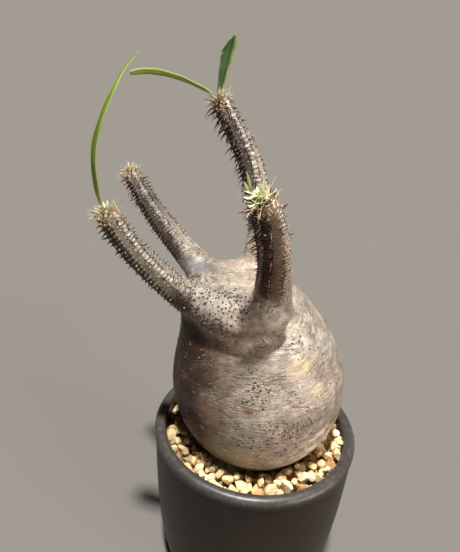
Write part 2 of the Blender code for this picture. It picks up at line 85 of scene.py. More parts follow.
# Where the inner wall starts to round in, the round as (in from the wall, height), and the floor
INNER_FOOT = 12 * MM
INNER_CORNER = ((0.8 * MM, 9 * MM), (2.6 * MM, 6.8 * MM), (5 * MM, FLOOR_THICKNESS))
FLOOR_RINGS = (20 * MM, 8 * MM)
DRAIN_RADIUS = 4.5 * MM
DRAIN_CIRCLE = 16 * MM
DRAIN_COUNT = 3
GROOVE_WIDTH = 6 * MM
GROOVE_DEPTH = 2 * MM
POT_SIDES = 128

# Pumice: a bed of fine gravel, and grains that lie on it and on each other
BED_AT_WALL = 69.5 * MM
BED_AT_CAUDEX = 66.5 * MM
BED_BOTTOM = 62.4 * MM
BED_HOLE = 14 * MM
BED_SIDES = 180
GRAIN_COUNT = 640
GRAIN_RADIUS = (1.25 * MM, 3.75 * MM)
GRAIN_PATTERNS = 6
# The flats cut off each kind of grain, how far out from its middle, and how grains differ in shape
GRAIN_FLATS = 10
FLATS_OUT = (0.46, 0.78)
GRAIN_SPREAD = ((0.85, 1.25), (0.8, 1.1), (0.75, 1.0))
GRAIN_SWELL = 1.12
# Places tried for each grain, and its sinking, its reach to the next and its rise over its radius
GRAIN_TRIES = 14
GRAIN_SUNK = 0.35
GRAIN_TOUCH = 0.86
GRAIN_RISE = 0.7
GRAINS_OUT_TO = 40 * MM
GRAIN_TOP_AT_WALL = 76.0 * MM
GRAIN_TOP_AT_CAUDEX = 75.2 * MM
CAUDEX_AT_PUMICE = 28 * MM
ROOT_CENTRE = np.array((0, 2.3)) * MM
MOAT_WIDTH = 3.0 * MM
MOAT_TURN = math.radians(205)
MOAT_FADE = (0.45, 0.95)
# Where shade is painted on the grains, towards the pot's left, in degrees round the pot: from, full, still
# full and to
PAINTED_GRAIN_SHADE_TURNS = (120, 165, 205, 245)

# Caudex stations in mm, root to crown: height, radius, and the centre's x and y
CAUDEX = [
    (26, 1.5, 0, 2.4),
    (34, 4.5, 0, 2.4),
    (46, 8.5, 0, 2.4),
    (56, 12.5, 0, 2.4),
    (64, 20.5, 0, 2.4),
    (70, 26.8, 0, 2.4),
    (77, 31.6, 0, 2.2),
    (86, 35.2, -0.3, 1.8),
    (98, 36.9, -0.6, 1.2),
    (110, 35.6, -1.2, 0.6),
    (122, 31.8, -3.2, 0.0),
    (132, 27.8, -6.6, -0.4),
    (140, 23.4, -10.2, -0.6),
    (146, 17.0, -13.4, -0.6),
    (149, 9.0, -14.8, -0.4),
    (150, 1.0, -15.2, 0),
]
CAUDEX_SIDES = 96
CAUDEX_RINGS = 100

# Arm stations in mm, from inside the caudex to the growing tip: x, y, z and radius
ARMS = {
    "front_left": [
        (-14, -6, 128, 10.0),
        (-24.5, -9.5, 135.5, 8.0),
        (-35.7, -11, 142.8, 5.7),
        (-44.5, -11.3, 150, 4.9),
        (-52.3, -11.3, 158, 4.6),
        (-58, -11.2, 165.6, 4.3),
        (-61, -11, 170.6, 3.7),
    ],
    "back_left": [
        (-17, 4, 134, 10.0),
        (-26, 10, 141.3, 8.0),
        (-36, 17, 148.3, 5.7),
        (-45.1, 25, 155.2, 5.2),
        (-53.5, 31.2, 162.8, 4.7),
        (-60.6, 37, 170.6, 3.9),
        (-64.8, 40, 176, 3.3),
    ],
    "back_right": [
        (-6, 9, 138, 10.0),
        (-3.6, 13, 150, 8.0),
        (-4, 17, 160.4, 5.9),
        (-6.4, 21.5, 172, 5.5),
        (-11.4, 27.5, 186, 5.1),
        (-17.6, 31, 197, 4.5),
        (-22.8, 33, 204.8, 4.1),
        (-25.4, 34, 209.6, 3.6),
    ],
    "front_right": [
        (-2, -8, 124, 11.4),
        (-0.7, -14.5, 136.5, 9.4),
        (-0.6, -20, 148, 7.1),
        (-1.2, -24.2, 158, 5.9),
        (-2.6, -28.2, 166.8, 5.4),
        (-5, -32.6, 175.6, 5.1),
        (-7.0, -35.5, 181.2, 4.6),
        (-8.8, -37.6, 185.2, 3.9),
    ],
}
# The shoulder that joins the feet of the two front arms, in mm: x, y, z and radius
SHOULDER = [
    (-35, -11.3, 142.4, 5.2),
    (-27, -14.2, 140.8, 6.6),
    (-19.5, -18.8, 139.2, 7.3),
    (-12, -21.6, 138.6, 7.6),
    (-4.5, -22.2, 139.2, 8.2),
    (0.4, -18.6, 141, 9.0),
]
# The fold under the shoulder: its height in mm by the turn about the caudex's top
FOLD_TURNS = (200, 215, 232, 245, 256, 267, 278, 293, 303)
FOLD_HEIGHTS = (136, 135.4, 132.8, 132, 132.6, 134.8, 136.4, 137.5, 139)
# Its span in degrees: from, full, still full and to; it is kept sharper below and before these, in mm
FOLD_SPAN = (190, 210, 280, 304)
FOLD_BELOW = (137, 142)
FOLD_BEFORE = (-16, -10)
# The hollow below the fold: its depth in mm by the turn
HOLLOW_TURNS = (215, 246, 268)
HOLLOW_DEPTHS = (0.7, 0.9, 3.2)
# Where shade is painted into the skin's colour, on the body's left and on the shoulder's underside: turns in
# degrees and heights in mm
PAINTED_SHADE_TURNS, PAINTED_SHADE_HEIGHTS = (145, 188, 204, 268), (66, 76, 129, 138)
SHOULDER_TURNS, SHOULDER_HEIGHTS = (190, 212, 296, 316), (127, 133, 143, 150)
SHOULDER_PAINTED_SHADE = 0.46
# Round the fork, in mm: a dip (centre, reach, depth), and where the skin is calm (centre, from, to)
SADDLE = ((-13, -4, 149), 9.5, 3.2)
CALM_FORK = ((-15, -6, 146), (11, 24))
RING_PITCH = 2.6
ARM_SAMPLES = 240
ARM_STEP = 4
BARK_VOXEL = 0.88 * MM
FORK_CENTRE = np.array((-14, 0, 142)) * MM
FORK_REACH = 34 * MM
FORK_SMOOTHING = 26
# Where each arm leaves the body: the rings in the skin spread from these places
ARM_FEET = np.array([stations[1][:3] for stations in ARMS.values()])
# The way that the lit sides face, where light is painted on the arms and shade on the sides turned from it,
# and the arm whose skin and spines are redder
LIT_WAY = (0.75, 0, 0.55)
WARM_ARM = "front_right"


def by_arm(*values):
    """A value for each arm, in the order of ARMS."""
    return dict(zip(ARMS, values))


# Ladders: five rows of spine cushions up each arm, two fifths of a turn from one to the next
LADDER_FROM = by_arm(0.27, 0.28, 0.27, 0.4)
LADDER_TO = 0.985
CUSHIONS = 150
ROW_TURN = math.radians(39.6)
CUSHION_TURN = TWO_FIFTHS + ROW_TURN / CUSHIONS
FIRST_ROW = by_arm(0, 0, 0, math.radians(36))
RUNG_HEIGHT = 0.26 * MM
RUNG_HALF = 0.42 * MM
RUNG_EDGE = (math.radians(20), math.radians(29))
RUNG_WANDER = 0.5 * MM
TURN_WANDER = 0.1
STRAY = by_arm(1.0, 1.0, 2.0, 1.0)
# How strong the painted light on each arm's right side is beside the others
ARM_PAINTED_LIGHT = by_arm(1.0, 0.66, 1.25, 1.2)
LADDER_NOTES = ("count", "turn_cos", "turn_sin", "girth")
GROOVE = 0.26 * MM

# Spines, two to a cushion: where they start on each arm, their length, wear, droop and number
SPINES_FROM = by_arm(0.3, 0.47, 0.32, 0.42)
SPINE_LONGEST = by_arm(2.3 * MM, 3.3 * MM, 4.1 * MM, 3.8 * MM)
SPINE_SHORTEST = 1.1 * MM
SPINE_WEAR = by_arm(1.5, 1.6, 0.7, 1.3)
SPINE_DROOP = by_arm(0.25, 0.3, 0.75, 0.3)
LONGER_LEFT = by_arm(0.0, 0.0, 0.35, 0.45)
SPINES_KEPT = by_arm(0.85, 0.9, 0.95, 0.62)
# How far chance changes a spine's length, what is left of a worn one, and its thickness and droop
LENGTH_CHANCE = (0.6, 1.15)
WORN_TO = (0.3, 0.7)
THICKNESS_CHANCE = (0.75, 1.15)
DROOP_CHANCE = (0.4, 1.6)
# Horn-like spines by the front right crown, in mm: root, tip and radius
HORNS = [
    ((-4.8, -35.4, 184.1), (-3.6, -36.6, 185.6), 0.42),
    ((-2.3, -32.6, 181.1), (-0.3, -34.2, 183.4), 0.42),
    ((1.2, -27.5, 172.0), (3.9, -28.0, 172.6), 0.26),
    ((1.5, -27.0, 170.9), (4.0, -27.4, 171.1), 0.26),
    ((-6.4, -36.0, 186.2), (-6.0, -36.6, 188.6), 0.3),
    ((-12.6, -33.0, 180.0), (-15.2, -33.6, 178.9), 0.3),
]
SPINE_RADIUS = 0.34 * MM
SPINE_SUNK = 0.5 * MM
PAIR_SPREAD = math.radians(15)
SPINE_TO_LEAF = 1.2 * MM

# Scars of old spines in mm: centre, reach, and how many
SCARS = [
    (-27.4, -21.8, 138.4, 2.2, 34),
    (-24.2, -24.0, 137.2, 2.8, 70),
    (-20.6, -25.6, 135.8, 2.6, 40),
    (-17.4, -27.4, 138.4, 2.4, 18),
    (-19.2, -20.4, 142.8, 4.0, 30),
    (-13.4, -21.4, 143.0, 4.5, 36),
    (-9.0, -22.0, 141.0, 3.5, 14),
    (-16.7, -25.8, 136.1, 3.0, 10),
    (-25.4, -20.5, 144.6, 3.5, 12),
    (-14.7, -25.1, 143.5, 3.5, 14),
    (-4.0, -33.0, 117.4, 5.2, 48),
    (-4.4, -34.4, 112.4, 3.8, 46),
    (4.6, -35.4, 99.6, 3.8, 40),
    (10.6, -34.1, 100.6, 3.6, 54),
    (17.0, -31.4, 100.8, 3.4, 38),
    (-0.4, -35.7, 100.4, 5.0, 16),
    (-8.0, -34.7, 96.0, 5.5, 18),
    (2.0, -34.6, 91.1, 5.5, 14),
    (9.0, -33.8, 92.5, 4.5, 16),
    (10.0, -31.3, 116.4, 3.0, 5),
    (8.5, -23.6, 132.1, 3.5, 9),
    (13.0, -23.4, 128.2, 4.5, 11),
    (-23.9, -24.2, 121.4, 4.0, 6),
    (-20.5, -28.5, 114.5, 5.5, 9),
    (24.4, -21.7, 114.9, 5.0, 8),
]
# Groups round the back: how many, the first turn and how far on from it they go in degrees, and the
# spans of their height, reach and number
BACK_SCAR_GROUPS = 16
BACK_SCAR_TURNS = (10, 165)
BACK_SCAR_HEIGHTS = (84, 130)
BACK_SCAR_REACH = (3.5, 6.5)
BACK_SCAR_NUMBER = (6, 24)
# The ridge that runs on from the front left arm with rows of long scars across it, in mm
RIDGE = [
    (-37.1, -12.6, 149.6),
    (-29.3, -16.0, 146.5),
    (-21.7, -21.0, 145.5),
    (-14.5, -25.7, 144.6),
    (-10.0, -28.0, 143.7),
]
RIDGE_COLUMNS = 30
RIDGE_ACROSS = (-0.17, -0.80, -0.58)
RIDGE_OFFSETS = (-4.6, -3.2, -1.9, -0.6, 0.7, 2.0, 3.2)
# Kinds of scar, those above a height in mm the shoulder's: radius, and length and height over it
SHOULDER_HEIGHT = 130
SHOULDER_SCAR = ((0.21 * MM, 0.43 * MM), (1.0, 1.7), (0.35, 0.8))
BODY_SCAR = ((0.19 * MM, 0.39 * MM), (1.0, 1.7), (0.35, 0.8))
RIDGE_SCAR = ((0.2 * MM, 0.4 * MM), (1.2, 2.2), (0.4, 0.8))
LEAF_SCAR = ((0.16 * MM, 0.34 * MM), (1.0, 1.4), (0.5, 0.9))
SCAR_SPREAD = 0.62
SCAR_GAP = 0.64 * MM
# The share of each arm's cushions that have a pale leaf scar
PALE_SCARS = by_arm(0.7, 0.45, 0.45, 0.08)

# Stains in the skin, and three patches of painted shade, in mm and linear colour: centre, reach, colour,
# strength
STAINS_AND_PAINTED_SHADE = [
    ((-21.4, -29.1, 106.1), 2.6, (0.42, 0.13, 0.03), 0.75),
    ((-6.4, -34.8, 108.3), 3.0, (0.16, 0.06, 0.03), 0.75),
    ((-11.6, -33.8, 106.8), 4.2, (0.40, 0.27, 0.24), 0.6),
    ((12.5, -27.1, 123.0), 7.0, (0.60, 0.46, 0.29), 0.5),
    ((18.8, -27.3, 114.1), 5.0, (0.64, 0.52, 0.33), 0.5),
    ((23.2, -12.7, 125.9), 7.5, (0.35, 0.375, 0.335), 0.42),
    ((-17.4, -23.9, 137.6), 1.7, (0.62, 0.33, 0.20), 0.8),
    ((-8.0, -29.3, 78.6), 9.5, (0.34, 0.27, 0.13), 0.6),
    ((-20.2, -29.5, 98.0), 8.0, (0.24, 0.11, 0.055), 0.5),
    ((-12.0, -10.0, 148.5), 9.0, (0.50, 0.43, 0.32), 0.55),
    ((-29.0, 4.0, 145.5), 9.0, (0.25, 0.262, 0.27), 0.65),
    ((-19.0, -18.0, 145.5), 12.0, (0.30, 0.265, 0.225), 0.62),
    ((-1.0, -28.0, 82.0), 17.0, (0.30, 0.225, 0.14), 0.42),
    # The next three are painted shade: under the front left arm, on the lower left, and in the hollow under
    # the shoulder
    ((-27.0, -17.0, 125.0), 13.0, (0.16, 0.10, 0.065), 0.7),
    ((-24.0, -22.0, 92.0), 12.0, (0.22, 0.12, 0.07), 0.6),
    ((-16.0, -26.0, 127.5), 6.0, (0.17, 0.115, 0.08), 0.4),
    ((12.0, -31.7, 110.5), 9.0, (0.44, 0.33, 0.30), 0.4),
    ((26.0, 8.0, 116.0), 9.0, (0.40, 0.30, 0.20), 0.45),
    ((8.0, 30.0, 118.0), 10.0, (0.55, 0.45, 0.32), 0.45),
    ((-20.0, 28.0, 104.0), 9.0, (0.28, 0.20, 0.14), 0.5),
    ((16.0, 30.0, 94.0), 8.0, (0.42, 0.22, 0.10), 0.35),
]

# Where the skin peels (centre, from, to), and a crack in it (x and z along it), in mm
PEELING = ((23, -24.5, 88), (5, 15))
CRACK = [(8.5, 110.6), (11, 110.0), (12.5, 109.9), (14, 109.4), (15.5, 109.3), (17.2, 107.0)]

# Crowns: a downy core, young leaves and pale bristles round it, and scales below
LEAF_KIND, BRISTLE_KIND, SCALE_KIND, CORE_KIND = range(4)
LEAF_TURN = math.radians(137.5)
CROWN_LEAVES = 24
CROWN_LEAF_LENGTH = (1.7 * MM, 4.9 * MM)
CROWN_LEAF_WIDTH = (0.7 * MM, 1.35 * MM)
CROWN_BRISTLES = 26
CROWN_BRISTLE_LENGTH = (2.0 * MM, 5.4 * MM)
CROWN_BRISTLE_RADII = (0.24 * MM, 0.2 * MM)
CROWN_CORE_HEIGHT = 1.2 * MM
CROWN_SCALES = 60
CROWN_SCALES_DOWN = 5.2 * MM
SCALE_WIDTH = (0.8 * MM, 1.5 * MM)
SCALE_LENGTH = (1.1 * MM, 2.1 * MM)
CROWN_TO_LEAF = 0.9 * MM
CROWN_GROWTH = by_arm(1, 1, 1, 0.64)
# Longer young leaves of one crown, in mm: root, tip, width and luck
SHOOTS = {
    "front_right": [
        ((-11.6, -36.2, 186.0), (-13.4, -35.2, 191.8), 1.0, 0.95),
        ((-12.2, -37.0, 186.0), (-14.0, -36.3, 189.2), 1.0, 0.9),
        ((-11.4, -38.0, 186.4), (-13.6, -38.8, 187.1), 0.9, 0.7),
        ((-9.9, -39.6, 183.6), (-12.7, -41.0, 180.2), 0.7, 0.2),
        ((-9.6, -39.6, 183.2), (-9.2, -40.6, 179.4), 0.7, 0.4),
    ],
}

# Long leaves: route in mm from foot to tip, width, and the way the upper face looks
LEAVES = {
    "leaf_front_left": {
        "route": [
            (-62.1, -10.9, 172.5),
            (-63.0, -12.0, 178.4),
            (-63.0, -14.0, 187.0),
            (-61.7, -15.0, 195.0),
            (-58.8, -16.0, 202.7),
            (-55.7, -16.0, 209.2),
            (-52.4, -14.0, 215.9),
            (-48.2, -12.0, 221.5),
        ],
        "width": 3.0 * MM,
        "widest": 0.3,
        "upper": (-0.55, -0.8, 0.3),
        "tip": 0.14,
        "taper": 1.25,
        "notch": 0.0,
        "deep": 0.0,
    },
    "leaf_back_right_arched": {
        "route": [
            (-28.6, 33.5, 210.9),
            (-30.6, 32.8, 212.0),
            (-35.2, 31.0, 213.9),
            (-41.2, 28.0, 215.9),
            (-48.4, 25.0, 217.2),
            (-53.6, 22.0, 217.2),
            (-58.6, 19.0, 216.2),
        ],
        "width": 3.1 * MM,
        "widest": 0.75,
        "upper": (0.05, 0.42, 0.9),
        "upper_at_tip": (0.05, 0.85, 0.6),
        "tip": 0.5,
        "pale_and_highlight_side": -1,
        "notch": 0.0,
        "deep": 0.0,
    },
    "leaf_back_right_upright": {
        "route": [
            (-26.2, 34.5, 211.6),
            (-25.2, 34.0, 215.0),
            (-24.4, 33.0, 220.2),
            (-23.0, 31.0, 227.2),
            (-21.4, 28.0, 233.4),
        ],
        "width": 5.4 * MM,
        "widest": 0.8,
        "upper": (0.25, -0.95, -0.2),
        "tip": 0.62,
        "notch": 5.4 * MM,
        "deep": 0.9,
    },
}
LEAF_THICKNESS = 0.42 * MM
LEAF_FOOT_WIDTH = 1.9 * MM
LEAF_FOLD = 0.22
LEAF_RIPPLE = 0.035
LEAF_GRID = (8, 59)

# Camera
CAMERA_PLACE = (-0.01592, -0.1571, 0.2107)
CAMERA_PITCH = math.radians(22.63)
CAMERA_ROLL = math.radians(4.12)
CAMERA_LENS = 28.04

# Lamps: the way to each, its strength, its width in degrees and its colour; and what they aim at
LAMPS = {
    "key": ((-0.03, -0.17, 0.985), 6.2, 4, (1.0, 0.965, 0.92)),
    "fill": ((0.80, -0.56, 0.22), 2.5, 32, (1.0, 0.90, 0.79)),
}
LAMP_AIM = (-0.005, 0, 0.11)
LAMP_AWAY = 1.2
# The backdrop's colour by height, up from the floor's edge
BACKDROP = ((0.31, (0.365, 0.332, 0.293)), (0.34, (0.03, 0.03, 0.032)))


def pick(piece):
    """Selects one piece alone and makes it active."""
    bpy.ops.object.select_all(action="DESELECT")
    piece.select_set(True)
    bpy.context.view_layer.objects.active = piece


def begin_piece(name, add_primitive, **settings):
    """Adds a primitive with nothing else selected, and names it."""
    bpy.ops.object.select_all(action="DESELECT")
    add_primitive(**settings)
    piece = bpy.context.object
    piece.name = piece.data.name = name
    return piece


def modify(piece, kind, **settings):
    """Adds a modifier with these settings and applies it."""
    pick(piece)
    added = piece.modifiers.new(kind.title(), kind)
    for setting, value in settings.items():
        setattr(added, setting, value)
    bpy.ops.object.modifier_apply(modifier=added.name)


def edit(piece, mode="VERT"):
    """Opens a piece in edit mode with nothing selected."""
    pick(piece)
    bpy.ops.object.mode_set(mode="EDIT")
    bpy.ops.mesh.select_mode(type=mode)
    bpy.ops.mesh.select_all(action="DESELECT")


def leave_edit():
    bpy.ops.object.mode_set(mode="OBJECT")


def draw_rings(name, rings, sides):
    """Draws a ring at the first (x, y, z, radius), pulls it from ring to ring and closes the ends."""
    x, y, z, radius = rings[0]
    disc = {"vertices": sides, "radius": radius, "fill_type": "TRIFAN"}
    piece = begin_piece(name, bpy.ops.mesh.primitive_circle_add, **disc, location=(x, y, z))
    bpy.ops.object.transform_apply()
    edit(piece, "EDGE")
    bpy.ops.mesh.select_non_manifold(use_wire=False, use_multi_face=False, use_verts=False)
    for before, after in zip(rings, rings[1:]):
        step = tuple(after[i] - before[i] for i in range(3))
        bpy.ops.mesh.extrude_region_move(TRANSFORM_OT_translate={"value": step})
        grow = after[3] / before[3]
        bpy.ops.transform.resize(value=(grow, grow, 1), center_override=tuple(after[:3]))
    bpy.ops.mesh.merge(type="CENTER")
    bpy.ops.mesh.select_all(action="SELECT")
    bpy.ops.mesh.normals_make_consistent(inside=False)
    leave_edit()
    return piece


def evenly(stations, count):
    """Evenly spaced points on a smooth curve through stations of any number of values."""
    knots = np.array(stations, float)
    knots = np.vstack([2 * knots[0] - knots[1], knots, 2 * knots[-1] - knots[-2]])
    t = np.linspace(0, 1, 24, endpoint=False)[:, None]
    runs = []
    for a, b, c, d in zip(knots, knots[1:], knots[2:], knots[3:]):
        bend = (2 * a - 5 * b + 4 * c - d) * t**2 + (3 * b - a - 3 * c + d) * t**3
        runs.append(0.5 * (2 * b + (c - a) * t + bend))
    fine = np.vstack([*runs, knots[-2:-1]])
    steps = np.linalg.norm(np.diff(fine, axis=0), axis=1)
    along = np.concatenate([[0], np.cumsum(steps)])
    where = np.linspace(0, along[-1], count)
    return np.column_stack([np.interp(where, along, column) for column in fine.T])


def travelling_frames(points):
    """Tangent, side and across at each point of a path, turning as little as possible."""
    ahead = np.vstack([points[1:], points[-1:]])
    behind = np.vstack([points[:1], points[:-1]])
    tangents = ahead - behind
    tangents /= np.linalg.norm(tangents, axis=1)[:, None]
    side = np.array(Vector(tangents[0]).orthogonal().normalized())
    sides = []
    for tangent in tangents:
        side = side - tangent * side.dot(tangent)
        side /= np.linalg.norm(side)
        sides.append(side)
    sides = np.array(sides)
    return tangents, sides, np.cross(tangents, sides)


def smooth_step(value, low, high):
    share = np.clip((np.asarray(value, float) - low) / (high - low), 0, 1)
    return share * share * (3 - 2 * share)


def within(value, low, full, still_full, high):
    """1 from full to still_full, smoothly down to 0 at low and high."""
    return smooth_step(value, low, full) * (1 - smooth_step(value, still_full, high))


def rough(points, size, seed=0):
    """Soft noise from -1 to 1 at each point, with lumps of about this size."""
    shift = Vector((seed * 7.31, seed * 3.77, seed * 5.13))
    return np.array([noise.noise(Vector(p) / size + shift) for p in points])


def points_of(piece):
    co = np.empty(len(piece.data.vertices) * 3, np.float32)
    piece.data.vertices.foreach_get("co", co)
    return co.reshape(-1, 3).astype(float)


def set_points(piece, points):
    piece.data.vertices.foreach_set("co", points.astype(np.float32).ravel())
    piece.data.update()


def normals_of(piece):
    return np.array([v.normal for v in piece.data.vertices])


def note(piece, name, values):
    """Keeps a number for each vertex, for the finish to read."""
    kept = piece.data.attributes.new(name, "FLOAT", "POINT")
    kept.data.foreach_set("value", np.asarray(values, np.float32))


def note_colour(piece, name, colours):
    kept = piece.data.attributes.new(name, "FLOAT_COLOR", "POINT")
    kept.data.foreach_set("color", np.asarray(colours, np.float32).ravel())


def settle(piece, finish, slot, *nodes):
    """Gives a finished piece its material and ties it to the part."""
    piece.data.materials.clear()
    piece.data.materials.append(finish)
    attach(piece, "root")
    if nodes:
        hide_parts(*nodes)
    return piece


def copies(name, pattern, frames, sizes, bends=None, **values):
    """One piece from a copy of the pattern on every frame, each with its own size, bend and values."""
    base = points_of(pattern)
    local = base[None] * np.asarray(sizes)[:, None, :]
    if bends is not None:
        local[:, :, 0] += np.asarray(bends)[:, None] * base[None, :, 2] ** 2
    frames = np.asarray(frames)
    placed = np.einsum("nij,nkj->nki", frames[:, :, :3], local) + frames[:, None, :, 3]
    faces = [tuple(p.vertices) for p in pattern.data.polygons]
    count = len(base)
    shifted = [tuple(i + k * count for i in f) for k in range(len(frames)) for f in faces]
    mesh = bpy.data.meshes.new(name)
    mesh.from_pydata(placed.reshape(-1, 3), [], shifted)
    piece = bpy.data.objects.new(name, mesh)
    bpy.context.scene.collection.objects.link(piece)
    for label, value in values.items():
        note(piece, label, np.repeat(np.asarray(value, float), count))
    note(piece, "up", np.tile(base[:, 2], len(frames)))
    return piece


def join(target, others):
    """Joins other pieces into a target."""
    pick(target)
    for other in others:
        other.select_set(True)
    bpy.ops.object.join()
    return target


def shade_round(piece, degrees=None):
    pick(piece)
    if degrees is None:
        bpy.ops.object.shade_smooth()
    else:
        bpy.ops.object.shade_smooth_by_angle(angle=math.radians(degrees))


def drop(piece):
    bpy.data.objects.remove(piece)


# Finishes


class Finish:
    """A procedural material, wired node by node."""

    def __init__(self, name):
        self.material = bpy.data.materials.new(name)
        self.material.use_nodes = True
        self.tree = self.material.node_tree
        self.shader = self.tree.nodes["Principled BSDF"]
        self.place = self.add("ShaderNodeTexCoord").outputs["Object"]

    def add(self, kind, inputs=None, **settings):
        """Adds a node; an input is given a value or another node's output."""
        made = self.tree.nodes.new(kind)
        for setting, value in settings.items():
            setattr(made, setting, value)
        for key, value in (inputs or {}).items():
            if isinstance(value, bpy.types.NodeSocket):
                self.tree.links.new(value, made.inputs[key])
            else:
                made.inputs[key].default_value = value
        return made

    def kept(self, name, colour=False):
        """What note or note_colour kept under this name."""
        made = self.add("ShaderNodeAttribute", attribute_name=name)
        return made.outputs["Color" if colour else "Fac"]

    def stretched(self, scale):
        """The place on the piece, stretched by a scale for each axis."""
        return self.add("ShaderNodeMapping", {"Vector": self.place, "Scale": scale}).outputs[0]

    def cloud(self, scale, detail=3.0, rough=0.55, place=None, wander=0.0):
        inputs = {
            "Vector": place or self.place,
            "Scale": scale,
            "Detail": detail,
            "Roughness": rough,
            "Distortion": wander,
        }
        return self.add("ShaderNodeTexNoise", inputs).outputs[0]

    def streaks(self, across, pitch, run):
        """Noise in lines: quick from one value of across to the next, slow along the piece."""
        slow = self.add("ShaderNodeVectorMath", {0: self.place, "Scale": run}, operation="SCALE")
        quick = self.times(across, pitch)
        inputs = {"Vector": slow.outputs[0], "W": quick, "Scale": 1.0, "Detail": 3.0}
        return self.add("ShaderNodeTexNoise", inputs, noise_dimensions="4D").outputs[0]

    def cells(self, scale, output="Distance"):
        inputs = {"Vector": self.place, "Scale": scale}
        return self.add("ShaderNodeTexVoronoi", inputs).outputs[output]

    def crumbs(self, scale):
        """A random grey for each cell."""
        return self.add("ShaderNodeRGBToBW", {0: self.cells(scale, "Color")}).outputs[0]

    def levels(self, value, low, high, bottom=0.0, top=1.0):
        """Maps low and high to bottom and top, and keeps within them."""
        inputs = {"Value": value, "From Min": low, "From Max": high, "To Min": bottom, "To Max": top}
        return self.add("ShaderNodeMapRange", inputs).outputs[0]

    def calc(self, operation, a, b=0.0):
        return self.add("ShaderNodeMath", {0: a, 1: b}, operation=operation).outputs[0]

    def times(self, value, *others):
        for other in others:
            value = self.calc("MULTIPLY", value, other)
        return value

    def plus(self, value, *others):
        for other in others:
            value = self.calc("ADD", value, other)
        return value

    def less(self, value, other):
        return self.calc("SUBTRACT", value, other)

    def threads(self, noise, wide, narrow):
        """1 on the thin lines where a noise crosses its middle value, 0 off them."""
        return self.levels(self.calc("ABSOLUTE", self.less(noise, 0.5)), wide, narrow)

    def ramp(self, value, *stops):
        """A colour for each value, from (place, colour) stops."""
        made = self.add("ShaderNodeValToRGB", {0: value})
        steps = made.color_ramp.elements
        while len(steps) < len(stops):
            steps.new(0.5)
        for step, (where, colour) in zip(steps, stops):
            step.position = where
            step.color = (*colour, 1)
        return made.outputs[0]

    def mix(self, share, a, b, blend="MIX"):
        inputs = {0: share, 6: a, 7: b}
        for key in (6, 7):
            if isinstance(inputs[key], tuple):
                inputs[key] = (*inputs[key], 1)
        return self.add(
            "ShaderNodeMix", inputs, data_type="RGBA", blend_type=blend, clamp_result=True
        ).outputs[2]

    def mottled(self, share, tone, noise, low, high, depth=0.35):
        """A tone made darker where a noise is under low, and lighter where it is over high."""
        dark, light = (0.5 - depth,) * 3, (0.5 + depth,) * 3
        return self.mix(share, tone, self.ramp(noise, (low, dark), (high, light)), "OVERLAY")

    def random(self, value):
        """A random number from 0 to 1 for each whole value."""
        return self.add("ShaderNodeTexWhiteNoise", {"W": value}, noise_dimensions="1D").outputs[0]

    def bump(self, height, strength, distance, under=None):
        inputs = {"Height": height, "Strength": strength, "Distance": distance}
        if under:
            inputs["Normal"] = under
        return self.add("ShaderNodeBump", inputs).outputs[0]

    def wear(self, **inputs):
        """Sets the shader: a value, or another node's output."""
        for key, value in inputs.items():
            socket = self.shader.inputs[key.replace("_", " ")]
            if isinstance(value, bpy.types.NodeSocket):
                self.tree.links.new(value, socket)
            else:
                socket.default_value = value
        return self.material


def charcoal_glaze():
    """The pot: near-black brown, rubbed paler and glossier on its lip."""
    f = Finish("charcoal_glaze")
    broad = f.cloud(38, 4)
    fine = f.cloud(900, 3)
    tone = f.ramp(
        broad,
        (0.3, (0.0175, 0.0125, 0.0103)),
        (0.55, (0.0245, 0.0180, 0.0150)),
        (0.8, (0.036, 0.028, 0.0245)),
    )
    height = f.add("ShaderNodeSeparateXYZ", {0: f.place}).outputs[2]
    on_lip = f.levels(height, POT_HEIGHT - 4 * MM, POT_HEIGHT - 0.6 * MM)
    rubbed = f.times(on_lip, f.levels(f.cloud(420, 5, 0.7), 0.48, 0.75))
    tone = f.mix(f.times(on_lip, 0.34), tone, (0.09, 0.086, 0.082))
    tone = f.mix(f.times(rubbed, 0.4), tone, (0.17, 0.165, 0.16))
    specks = f.times(f.levels(f.cells(620), 0.1, 0.04), f.levels(f.cloud(60), 0.5, 0.7))
    tone = f.mix(f.times(specks, 0.5), tone, (0.2, 0.2, 0.19))
    return f.wear(
        Base_Color=tone,
        Roughness=f.plus(f.levels(broad, 0.3, 0.7, 0.36, 0.46), f.levels(fine, 0.3, 0.7, -0.03, 0.05)),
        Normal=f.bump(fine, 0.16, 0.06 * MM, f.bump(f.cloud(3200, 2), 0.12, 0.03 * MM)),
        Specular_IOR_Level=f.levels(on_lip, 0.0, 1.0, 0.16, 0.5),
    )


def crumbly(name, scale, strength, distance, dark, medium, pale):
    """A matt finish of small crumbs in three tones."""
    f = Finish(name)
    tone = f.ramp(f.crumbs(scale), (0.2, dark), (0.5, medium), (0.8, pale))
    return f.wear(Base_Color=tone, Roughness=0.95, Normal=f.bump(f.cells(scale), strength, distance))


def potting_soil():
    tones = (0.05, 0.032, 0.02), (0.12, 0.08, 0.05), (0.28, 0.21, 0.14)
    return crumbly("potting_soil", 420, 0.8, 0.8 * MM, *tones)


def pumice_dust():
    # The gravel bed under the grains: dusty fines, its tones darker than the grains' partly as painted shade
    # in the gaps between them
    tones = (0.13, 0.08, 0.045), (0.34, 0.23, 0.13), (0.62, 0.47, 0.28)
    return crumbly("pumice_dust", 520, 0.9, 0.9 * MM, *tones)


def mesh_plastic():
    f = Finish("mesh_plastic")
    tone = f.ramp(f.cloud(300), (0.3, (0.015, 0.015, 0.016)), (0.7, (0.03, 0.03, 0.031)))
    skin = f.bump(f.cloud(2500), 0.2, 0.03 * MM)
    return f.wear(Base_Color=tone, Roughness=f.levels(f.cloud(200), 0.3, 0.7, 0.4, 0.55), Normal=skin)


